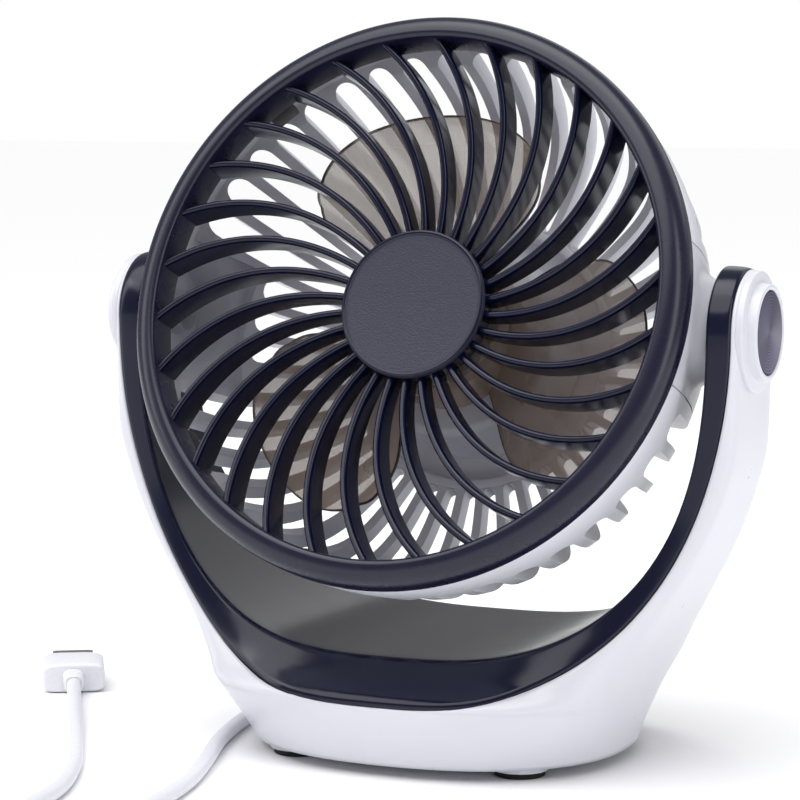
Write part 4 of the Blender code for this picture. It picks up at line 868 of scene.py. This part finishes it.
# %% Strain relief
gland_low, gland_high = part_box("cord_gland")
gland_place = (Matrix.Translation(((gland_low.x + gland_high.x) / 2.0, gland_high.y,
                                   (gland_low.z + gland_high.z) / 2.0))
               @ Matrix.Rotation(math.radians(90.0), 4, "X"))
corners = [(2.05, 0.0), (2.7, 0.0)]
for ring in range(4):
    near = 0.6 + ring * 2.3
    corners += [(2.85 + ring * 0.17, near), (2.85 + ring * 0.17, near + 1.3),
                (2.45 + ring * 0.12, near + 1.5), (2.45 + ring * 0.12, near + 2.1)]
corners += [(3.6, 9.8), (4.55, 10.3), (4.55, 11.9), (3.2, 11.9), (3.2, 16.0), (2.05, 16.0)]
gland = piece("strain_relief_grooved", turned(rounded(corners, 0.2, 3), 64), PVC, "stand",
              gland_place)
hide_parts("cord_gland")
print("strain relief with four grooves")

# %% [markdown]
# ## The grille's ring
#
# The ring is one turned profile: a rounded outer band, a crest and a bore that slopes in. The
# wide outer slope is what catches the long soft highlight.

# %% Ring and hub plate
def head_piece(name, mesh_data, material, body="head", sharp=35.0):
    return piece(name, mesh_data, material, body, HEAD, sharp)


ring_profile = []
for i in range(13):
    t = math.radians(-4.0 + 98.0 * i / 12)
    ring_profile.append((69.4 + 5.6 * math.cos(t) ** 0.9 if math.cos(t) > 0 else 69.4,
                         20.6 + 5.6 * math.sin(t)))
ring_profile = [(75.0, 18.4)] + ring_profile + [(68.6, 25.7), (68.3, 24.9), (68.3, 15.6),
                                                (70.1, 15.6), (70.1, 18.4)]
ring = head_piece("grille_ring", turned(ring_profile, 256), NAVY_SATIN, sharp=60.0)
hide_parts("front_grille")
hub_profile = rounded(((0.0, 14.35), (18.8, 14.35), (18.8, 8.0), (17.2, 8.0), (17.2, 12.8),
                       (0.0, 12.8)), 0.5)
head_piece("grille_hub_plate", turned(hub_profile), NAVY_ABS)
print("ring 150 mm across")

# %% [markdown]
# ## Thirty curved ribs
#
# Every rib is the same blade of plastic, swept outwards while it turns by about 24 degrees,
# most of it near the rim. Its front is a narrow round nose and its back is deep, so that the
# guard is stiff but lets the air through. A loop sets thirty of them round the hub.

# %% Ribs
RIB_COUNT = 30
RIB_SWEEP = math.radians(24.0)
RIB_PHASE = math.radians(6.9)
RIB_STATIONS = 30
RIB_HALF = 1.1


def rib_nose(half, steps=7):
    """The rib's section: straight flanks and a round nose, across and forwards."""
    points = [(-half, None)]
    for i in range(steps + 1):
        turn = math.pi * (1.0 - i / steps)
        points.append((0.86 * half * math.cos(turn), 1.15 * half * (math.sin(turn) - 1.0)))
    points.append((half, None))
    return points


def rib_rows(turn):
    rows = []
    for i in range(RIB_STATIONS):
        share = i / (RIB_STATIONS - 1)
        radius = 18.0 + (69.0 - 18.0) * share
        angle = turn + RIB_SWEEP * share ** 1.5
        slope = RIB_SWEEP * 1.5 * max(share, 1e-4) ** 0.5 / 51.0
        out = Vector((math.cos(angle), math.sin(angle), 0.0))
        run = (out + Vector((-out.y, out.x, 0.0)) * radius * slope).normalized()
        side = Vector((-run.y, run.x, 0.0))
        front = 14.3 + (24.2 - 14.3) * share
        rear = 8.6 + (15.1 - 8.6) * share
        spot = out * radius
        row = []
        for across_mm, forward in rib_nose(RIB_HALF):
            height = rear if forward is None else front + forward
            row.append(spot + side * across_mm + Vector((0.0, 0.0, height)))
        rows.append(row)
    return rows


bm = bmesh.new()
for i in range(RIB_COUNT):
    made = skin(bm, rib_rows(2.0 * math.pi * i / RIB_COUNT + RIB_PHASE), closed=True)
    bm.faces.new(list(reversed(made[0])))
    bm.faces.new(made[-1])
head_piece("grille_ribs", bm, NAVY_ABS, sharp=50.0)
print(RIB_COUNT, "ribs")

# %% [markdown]
# ## Snap lugs and the hub cap
#
# Small snap lugs behind the ring hold the grille to the rear shell. The hub cap is a thin disc
# with a bright narrow rim around its leather-grained face.

# %% Lugs and hub cap
lugs = bmesh.new()
for angle in (38.0, 132.0, 214.0, 312.0):
    made = bmesh.ops.create_cube(lugs, size=1.0)["verts"]
    bmesh.ops.scale(lugs, vec=Vector((2.6, 7.0, 7.0)) * MM, verts=made)
    bmesh.ops.translate(lugs, vec=Vector((69.8, 0.0, 12.6)) * MM, verts=made)
    bmesh.ops.rotate(lugs, matrix=Matrix.Rotation(math.radians(angle), 3, "Z"), verts=made)
bmesh.ops.bevel(lugs, geom=lugs.edges[:], offset=0.5 * MM, segments=3, profile=0.5,
                affect="EDGES")
head_piece("grille_lugs", lugs, NYLON)
cap_profile = rounded(((0.0, 14.7), (19.5, 14.7), (19.5, 15.9), (19.2, 16.25), (18.35, 16.25),
                       (18.1, 15.85), (0.0, 15.85)), 0.16, 3)
hub_cap = head_piece("hub_cap_grained", turned(cap_profile, 192), GRAIN_HUB)
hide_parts("hub_cap")
trim_profile = rounded(((18.3, 15.9), (19.35, 15.9), (19.35, 16.2), (18.9, 16.42),
                        (18.45, 16.3)), 0.12, 3)
head_piece("hub_cap_rim", turned(trim_profile, 192), NAVY_ABS)
print("hub cap 39 mm across")

# %% [markdown]
# ## The slotted rear shell
#
# The rear shell is a bowl with 44 slots, and each slot has round ends. Its surface is laid out
# as 44 cells between fin and fin. Inside a cell every level has the two edges of its slot,
# which close to one point at both ends, so the round ends come from the mesh itself. A second
# surface further in gives the fins their depth, and walls join the two round each slot.

# %% Rear shell profile
SLOT_COUNT = 44
SHELL_CURVE = ((7.0, 74.15), (0.0, 73.3), (-6.0, 72.3), (-12.0, 70.8), (-17.0, 69.0),
               (-22.0, 66.6), (-26.0, 63.8), (-29.6, 59.9), (-32.6, 55.0), (-34.8, 49.2),
               (-36.4, 43.0), (-37.5, 37.0))


def shell_line():
    """The bowl's profile as even points (radius, height), from the band to the rear disc."""
    fine = smooth([Vector((r, z, 0.0)) for z, r in SHELL_CURVE])
    even, total = evened(fine, 1.0)
    return even, total


LINE, LINE_LENGTH = shell_line()


def along(distance):
    """Point and inward normal at a distance along the profile."""
    place = max(0.0, min(0.9999, distance / LINE_LENGTH)) * (len(LINE) - 1)
    k = int(place)
    spot = LINE[k].lerp(LINE[k + 1], place - k)
    run = (LINE[k + 1] - LINE[k]).normalized()
    return spot, Vector((run.y, -run.x, 0.0))


def slot_half(distance, first):
    """Half width of the slot in radians: round at both ends and a fin's width in between."""
    spot, _ = along(distance)
    share = distance / LINE_LENGTH
    fin = 3.3 + (2.2 - 3.3) * share
    half = (2.0 * math.pi * spot.x / SLOT_COUNT - fin) / 2.0
    reach = min(1.0, max(0.0, (distance - first) / half))
    end = min(1.0, max(0.0, (LINE_LENGTH - 1.0 - distance) / half))
    return half / spot.x * math.sqrt(max(0.0, 1.0 - (1.0 - reach) ** 2)) \
        * math.sqrt(max(0.0, 1.0 - (1.0 - end) ** 2))


def cell_levels(first):
    """Distances for a cell's rows: close together where the slot's ends are round."""
    last = LINE_LENGTH - 1.0
    levels = [first + 3.6 * (1.0 - math.cos(math.radians(90.0 * i / 7))) for i in range(8)]
    levels += [first + 3.6 + (last - 1.4 - first - 3.6) * i / 16 for i in range(1, 17)]
    levels += [last - 1.4 + 1.4 * math.sin(math.radians(90.0 * i / 5)) for i in range(1, 6)]
    return levels


def inward(distance):
    """How deep the wall is: thin at the band, deep along the fins."""
    ease = min(1.0, max(0.0, distance / 5.0))
    return 2.2 + (4.6 - 2.2) * ease * ease * (3.0 - 2.0 * ease)


def place_on(distance, angle, deep):
    spot, normal = along(distance)
    point = spot + normal * deep
    return Vector((point.x * math.cos(angle), point.x * math.sin(angle), point.y))


print("profile", round(LINE_LENGTH, 1), "mm long")

# %% [markdown]
# The pods sit in a notch at each side. Instead of cutting it, the two cells beside the pivot
# axis are laid with the notch left out: the first starts below it, and the second is a narrow
# strip beside it.

# %% Rear shell cells
PITCH = 2.0 * math.pi / SLOT_COUNT
NOTCH_HALF = 18.6
NOTCH_END = min((d / 20.0 for d in range(int(LINE_LENGTH * 20))),
                key=lambda d: abs(along(d)[0].y + 19.9))


def sheet_rows(bm, levels, edges_at, deep_side):
    rows = []
    for distance in levels:
        deep = inward(distance) if deep_side else 0.0
        rows.append([bm.verts.new(place_on(distance, a, deep) * MM) for a in edges_at(distance)])
    return rows


def shell_patch(bm, levels, edges_at, slot_from=None, ends=False, sides=()):
    """Outer and inner sheets of one cell, with walls round its slot and at its open edges."""
    outer = sheet_rows(bm, levels, edges_at, False)
    inner = sheet_rows(bm, levels, edges_at, True)
    for k in range(len(levels) - 1):
        for column in range(len(outer[0]) - 1):
            if slot_from is not None and column == 1:
                continue
            for rows in (outer, inner):
                bm.faces.new((rows[k][column], rows[k][column + 1], rows[k + 1][column + 1],
                              rows[k + 1][column]))
        walls = list(sides)
        if slot_from is not None and levels[k] >= slot_from - 1e-6:
            walls += [1, 2]
        for column in walls:
            bm.faces.new((outer[k][column], outer[k + 1][column], inner[k + 1][column],
                          inner[k][column]))
    if ends:
        for column in range(len(outer[0]) - 1):
            bm.faces.new((outer[0][column], outer[0][column + 1], inner[0][column + 1],
                          inner[0][column]))


def slot_edges(index, first):
    middle = (index + 0.5) * PITCH

    def edges_at(distance):
        half = slot_half(distance, first) if distance > first else 0.0
        return (middle - PITCH / 2.0, middle - half, middle + half, middle + PITCH / 2.0)
    return edges_at


def strip_edges(index, near_low):
    """The narrow strip between the notch's edge and the next cell."""
    low, high = index * PITCH, (index + 1) * PITCH
    axis_angle = round(low / math.pi) * math.pi if near_low else round(high / math.pi) * math.pi

    def edges_at(distance):
        lean = math.asin(NOTCH_HALF / along(distance)[0].x)
        if near_low:
            return (axis_angle + lean, high)
        return (low, axis_angle - lean)
    return edges_at


bm = bmesh.new()
for index in range(SLOT_COUNT):
    from_axis = index % 22
    near_axis = min(from_axis, 21 - from_axis)
    first = NOTCH_END + 3.0 if near_axis < 2 else 1.4
    levels = [NOTCH_END, first - 1.0] if near_axis < 2 else [0.0]
    levels += cell_levels(first) + [LINE_LENGTH]
    shell_patch(bm, levels, slot_edges(index, first), slot_from=first, ends=near_axis < 2)
    if near_axis == 1:
        low_side = from_axis == 1
        shell_patch(bm, [NOTCH_END * i / 12 for i in range(13)],
                    strip_edges(index, low_side), sides=(0,) if low_side else (1,))
bmesh.ops.remove_doubles(bm, verts=bm.verts, dist=5e-6)
bmesh.ops.dissolve_degenerate(bm, dist=1e-6, edges=bm.edges)
rear_shell = head_piece("rear_shell_slots", bm, WHITE_ABS, sharp=40.0)
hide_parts("rear_shell")
inner_start = place_on(0.0, 0.0, inward(0.0))
band_section = [(74.15, 7.0), (74.2, 9.0), (74.2, 17.6), (73.8, 18.1), (72.4, 18.1),
                (72.0, 17.7), (72.0, 7.2), (inner_start.x, inner_start.z)]
band = bmesh.new()
band_gap = math.asin(NOTCH_HALF / 74.2)
for side_start in (0.0, math.pi):
    rows = []
    for i in range(73):
        a = side_start + band_gap + (math.pi - 2.0 * band_gap) * i / 72
        rows.append([Vector((r * math.cos(a), r * math.sin(a), z)) for r, z in band_section])
    made = skin(band, rows, closed=True)
    band.faces.new(list(reversed(made[0])))
    band.faces.new(made[-1])
head_piece("rear_shell_band", band, WHITE_ABS, sharp=40.0)
edge = place_on(LINE_LENGTH, 0.0, 0.0)
inner_edge = place_on(LINE_LENGTH, 0.0, inward(LINE_LENGTH))
disc = rounded(((0.0, -38.3), (35.8, -38.3), (edge.x + 0.6, edge.z - 0.1),
                (inner_edge.x + 0.9, inner_edge.z + 0.3), (34.6, inner_edge.z + 0.3),
                (34.0, -36.1), (0.0, -36.1)), 0.6)
head_piece("rear_shell_disc", turned(disc, 176), WHITE_ABS)
print("rear shell", len(rear_shell.data.polygons), "faces")

# %% [markdown]
# ## Trunnion pods
#
# On each side a curved plate fills the gap in the bowl and swells smoothly into a round neck,
# which turns in the arm. A polar grid about the pivot axis makes that swelling: the inner rings
# are the neck, the outer rings lie on the bowl, and a smooth step blends the two.

# %% Pods
NECK_FACE = 77.4
NECK_RADIUS = 12.0
POD_HALF_ANGLE = 14.2


def bowl_radius(height):
    if height >= SHELL_CURVE[0][0]:
        return 74.15
    for (high, a), (low, b) in zip(SHELL_CURVE, SHELL_CURVE[1:]):
        if low <= height <= high:
            return b + (a - b) * (height - low) / (high - low)
    return SHELL_CURVE[-1][1]


def pod_point(ring_share, turn, deep):
    """A point of the pod: share 0 is the spigot's root and 1 is the plate's edge."""
    c, s = math.cos(turn), math.sin(turn)
    rim_y = bowl_radius(8.0) * math.sin(math.radians(POD_HALF_ANGLE))
    rim_top, rim_low = 17.9, -19.5
    reach_z = rim_top if s > 0 else -rim_low
    edge_scale = min(rim_y / abs(c) if abs(c) > 1e-6 else 1e9,
                     reach_z / abs(s) if abs(s) > 1e-6 else 1e9)
    distance = 6.2 + (edge_scale - 6.2) * ring_share
    y, h = distance * c, distance * s
    radius = bowl_radius(h)
    on_bowl = math.sqrt(max(0.0, radius ** 2 - y ** 2))
    t = min(1.0, max(0.0, (distance - NECK_RADIUS + 0.2) / 5.2))
    swell = (1.0 - t) ** 3
    x = on_bowl + (NECK_FACE - on_bowl) * (1.0 if distance <= NECK_RADIUS - 0.4 else swell)
    return Vector((x - deep, y, h))


for side, word in SIDES:
    bm = bmesh.new()
    shares = [i / 34 for i in range(35)]
    outer_rows = [[pod_point(s, 2.0 * math.pi * i / 96, 0.0) for i in range(96)] for s in shares]
    inner_rows = [[pod_point(s, 2.0 * math.pi * i / 96, 2.1) for i in range(96)]
                  for s in reversed(shares)]
    spigot = [[Vector((x, r * math.cos(2.0 * math.pi * i / 96), r * math.sin(2.0 * math.pi * i / 96)))
               for i in range(96)] for x, r in ((72.0, 5.0), (83.0, 5.0), (83.4, 5.6), (83.0, 6.0),
                                                (NECK_FACE, 6.2))]
    skin(bm, spigot + outer_rows + inner_rows + [spigot[0]], closed=True)
    if side < 0:
        bmesh.ops.rotate(bm, matrix=Matrix.Rotation(math.pi, 3, "Z"), verts=bm.verts)
    pod = head_piece(f"trunnion_{word}_pod", bm, WHITE_ABS, sharp=40.0)
    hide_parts(f"trunnion_{word}")
print("two pods")

# %% [markdown]
# ## The impeller
#
# Three broad blades of smoky polystyrene stand round a domed hub. Each blade is pitched: its
# leading edge lies at the back and its trailing edge comes forward. The outline is rounded by
# pulling the corners in.

# %% Impeller
BLADE_TIP = 58.0
BLADE_ROOT = 19.9
BLADE_COUNT = 3
BLADE_PHASE = 103.5
BLADE_WALL = 1.2
BLADE_TURNS = [math.radians(BLADE_PHASE + 360.0 * i / BLADE_COUNT) for i in range(BLADE_COUNT)]


def blade_rows(turn, lift):
    rows = []
    for i in range(25):
        share = i / 24
        radius = BLADE_ROOT + (BLADE_TIP - BLADE_ROOT) * share
        half_angle = math.radians(33.0 + 8.0 * math.sin(math.pi * min(share, 0.75)))
        row = []
        for j in range(33):
            side = -1.0 + 2.0 * j / 32
            corner = 1.0 - 0.11 * share ** 3 * abs(side) ** 4
            angle = turn + half_angle * side * (1.0 - 0.16 * share ** 6)
            height = -11.5 + 14.0 * (side + 1.0) / 2.0 + 0.9 * math.sin(math.pi * (side + 1) / 2)
            reach = radius * corner
            row.append(Vector((reach * math.cos(angle), reach * math.sin(angle), height + lift)))
        rows.append(row)
    return rows


bm = bmesh.new()
for turn in BLADE_TURNS:
    front = skin(bm, blade_rows(turn, BLADE_WALL / 2.0))
    rear = skin(bm, blade_rows(turn, -BLADE_WALL / 2.0))
    rim = [(0, j) for j in range(33)] + [(k, 32) for k in range(1, 25)]
    rim += [(24, j) for j in range(31, -1, -1)] + [(k, 0) for k in range(23, 0, -1)]
    for (a, b), (c, d) in zip(rim, rim[1:] + rim[:1]):
        bm.faces.new((front[a][b], rear[a][b], rear[c][d], front[c][d]))
blades = head_piece("impeller_blades", bm, SMOKY_STYRENE, "rotor", 50.0)
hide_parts("impeller")
hub_profile = rounded(((0.0, 5.5), (16.5, 5.5), (19.8, 4.4), (20.5, 1.6), (20.5, -12.5),
                       (19.0, -12.5), (19.0, 3.9), (4.0, 3.9), (4.0, -12.4), (1.3, -12.4),
                       (1.3, 3.2), (0.0, 3.2)), 0.7)
head_piece("impeller_hub", turned(hub_profile, 96), SMOKY_STYRENE, "rotor")
edges = bmesh.new()
for turn in BLADE_TURNS:
    rows = blade_rows(turn, 0.0)
    rim = [rows[k][0] for k in range(25)] + rows[24][1:32]
    rim += [rows[k][32] for k in range(24, -1, -1)]
    tube = []
    for k, spot in enumerate(rim):
        run = (rim[min(k + 1, len(rim) - 1)] - rim[max(k - 1, 0)]).normalized()
        out = run.cross(Vector((0.0, 0.0, 1.0))).normalized()
        tall = out.cross(run)
        tube.append([spot + out * 0.28 * math.cos(a) + tall * 0.66 * math.sin(a)
                     for a in [2.0 * math.pi * s / 8 for s in range(8)]])
    made = skin(edges, tube, closed=True)
    edges.faces.new(list(reversed(made[0])))
    edges.faces.new(made[-1])
SMOKY_EDGE, tree, shader, place = start("polystyrene_smoky_edge", Metallic=0.0, IOR=1.59,
                                        Base_Color=paint("#1d1816"))
edge_noise = add(tree, "ShaderNodeTexNoise", {"Scale": 1.0 / (2.0 * MM)}, {"Vector": place})
tree.links.new(ramp(tree, edge_noise.outputs["Fac"], 0.2, 0.4), shader.inputs["Roughness"])
head_piece("impeller_edges", edges, SMOKY_EDGE, "rotor")
print("three blades, 116 mm across")

# %% [markdown]
# ## The motor housing
#
# Behind the impeller a white cup holds the motor. It is one turned shape with a round shoulder
# and a hole at the front for the shaft.

# %% Motor housing
profile = rounded(((4.3, -14.5), (25.4, -14.5), (27.0, -16.2), (28.0, -35.8), (26.0, -35.8),
                   (25.2, -16.5), (4.3, -16.5)), 0.9)
housing = head_piece("motor_housing_cup", turned(profile, 96), WHITE_ABS)
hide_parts("motor_housing")
print("housing 56 mm across")

# %% [markdown]
# ## Finishes for the pieces kept from the frame
#
# Screws, magnets, bushes, board, switch and plates already have their true shape. They only
# need their real finish, and the plates get a small rounded edge by a Bevel modifier.

# %% Kept pieces
KEPT = {
    "base_plate": WHITE_ABS, "control_board": BOARD, "speed_switch": NYLON,
    "motor_can": NICKEL, "motor_end_cap": NYLON, "motor_magnet_left": FERRITE,
    "motor_magnet_right": FERRITE, "bush_front": BRONZE, "bush_rear": BRONZE,
    "commutator": COPPER, "armature": NICKEL, "motor_shaft": NICKEL, "knob_shaft": NICKEL,
    "pivot_washer_left": NYLON, "pivot_washer_right": NYLON, "plug_tongue": WHITE_ABS,
}
KEPT.update({f"plug_contact_{i}": GOLD for i in range(1, 5)})
for name, node in frame["nodes"].items():
    if "screw" in name:
        KEPT[name] = NICKEL
    if name in KEPT:
        node.data.materials.clear()
        node.data.materials.append(KEPT[name])
for name in ("base_plate", "plug_tongue", "control_board", "speed_switch"):
    softened = frame["nodes"][name].modifiers.new("edge", "BEVEL")
    softened.width = 0.15 * MM
    softened.segments = 2
    softened.limit_method = "ANGLE"
print(len(KEPT), "kept pieces finished")

# %% [markdown]
# ## Floor and light
#
# A white sweep and large soft lights, as in a product studio. A wide sun stands for the
# ceiling's wash and brings the whole floor to white. A narrow softbox on each side draws the
# long highlights on the navy plastic. The room itself is dim, so that the navy has little to
# mirror and stays dark, while the backdrop that the lens looks at is white.

# %% Floor
floor_bm = bmesh.new()
bmesh.ops.create_grid(floor_bm, x_segments=1, y_segments=1, size=6.0)
floor_mesh = bpy.data.meshes.new("studio_floor")
floor_bm.to_mesh(floor_mesh)
floor_bm.free()
floor = bpy.data.objects.new("studio_floor", floor_mesh)
bpy.context.scene.collection.objects.link(floor)
PAPER, tree, shader, place = start("paper_sweep_white", Metallic=0.0, Roughness=0.9,
                                   Base_Color=paint("#fbfbfc"))
fibre = add(tree, "ShaderNodeTexNoise", {"Scale": 1.0 / (1.5 * MM)}, {"Vector": place})
fibre_bump = add(tree, "ShaderNodeBump", {"Strength": 0.02, "Distance": 0.05 * MM},
                 {"Height": fibre.outputs["Fac"]})
tree.links.new(fibre_bump.outputs["Normal"], shader.inputs["Normal"])
floor_mesh.materials.append(PAPER)
print("floor laid")

# %% Lights
def softbox(name, spot, aim, size, watts, tint="#ffffff"):
    light = bpy.data.lights.new(name, "AREA")
    light.shape = "RECTANGLE"
    light.size, light.size_y = size
    light.energy = watts
    light.color = paint(tint)[:3]
    lamp = bpy.data.objects.new(name, light)
    bpy.context.scene.collection.objects.link(lamp)
    lamp.location = spot
    lamp.rotation_euler = (Vector(aim) - Vector(spot)).to_track_quat("-Z", "Y").to_euler()
    return lamp


centre = (0.0, 0.0, 0.1)
softbox("softbox_left", (-0.95, -0.45, 0.55), centre, (0.35, 0.9), 2.6)
softbox("softbox_right", (1.0, -0.25, 0.45), centre, (0.35, 0.9), 2.6)
softbox("softbox_top", (0.0, -0.1, 1.1), centre, (0.9, 0.5), 1.6)
softbox("softbox_back", (0.2, 0.9, 0.6), centre, (1.2, 0.5), 1.2)
sky = bpy.data.lights.new("overhead_wash", "SUN")
sky.energy = 2.5
sky.angle = math.radians(70.0)
sky_lamp = bpy.data.objects.new("overhead_wash", sky)
bpy.context.scene.collection.objects.link(sky_lamp)
sky_lamp.rotation_euler = (math.radians(18.0), math.radians(-8.0), 0.0)
world = bpy.data.worlds.new("studio")
bpy.context.scene.world = world
world.use_nodes = True
room = world.node_tree
dim = room.nodes["Background"]
dim.inputs["Color"].default_value = (1.0, 1.0, 1.0, 1.0)
dim.inputs["Strength"].default_value = 0.30
sweep = add(room, "ShaderNodeBackground", {"Color": (1.0, 1.0, 1.0, 1.0), "Strength": 1.0})
sight = add(room, "ShaderNodeLightPath")
choose = add(room, "ShaderNodeMixShader")
room.links.new(sight.outputs["Is Camera Ray"], choose.inputs[0])
room.links.new(dim.outputs["Background"], choose.inputs[1])
room.links.new(sweep.outputs["Background"], choose.inputs[2])
room.links.new(choose.outputs["Shader"], room.nodes["World Output"].inputs["Surface"])
bpy.context.scene.view_settings.view_transform = "Standard"
print("four softboxes")
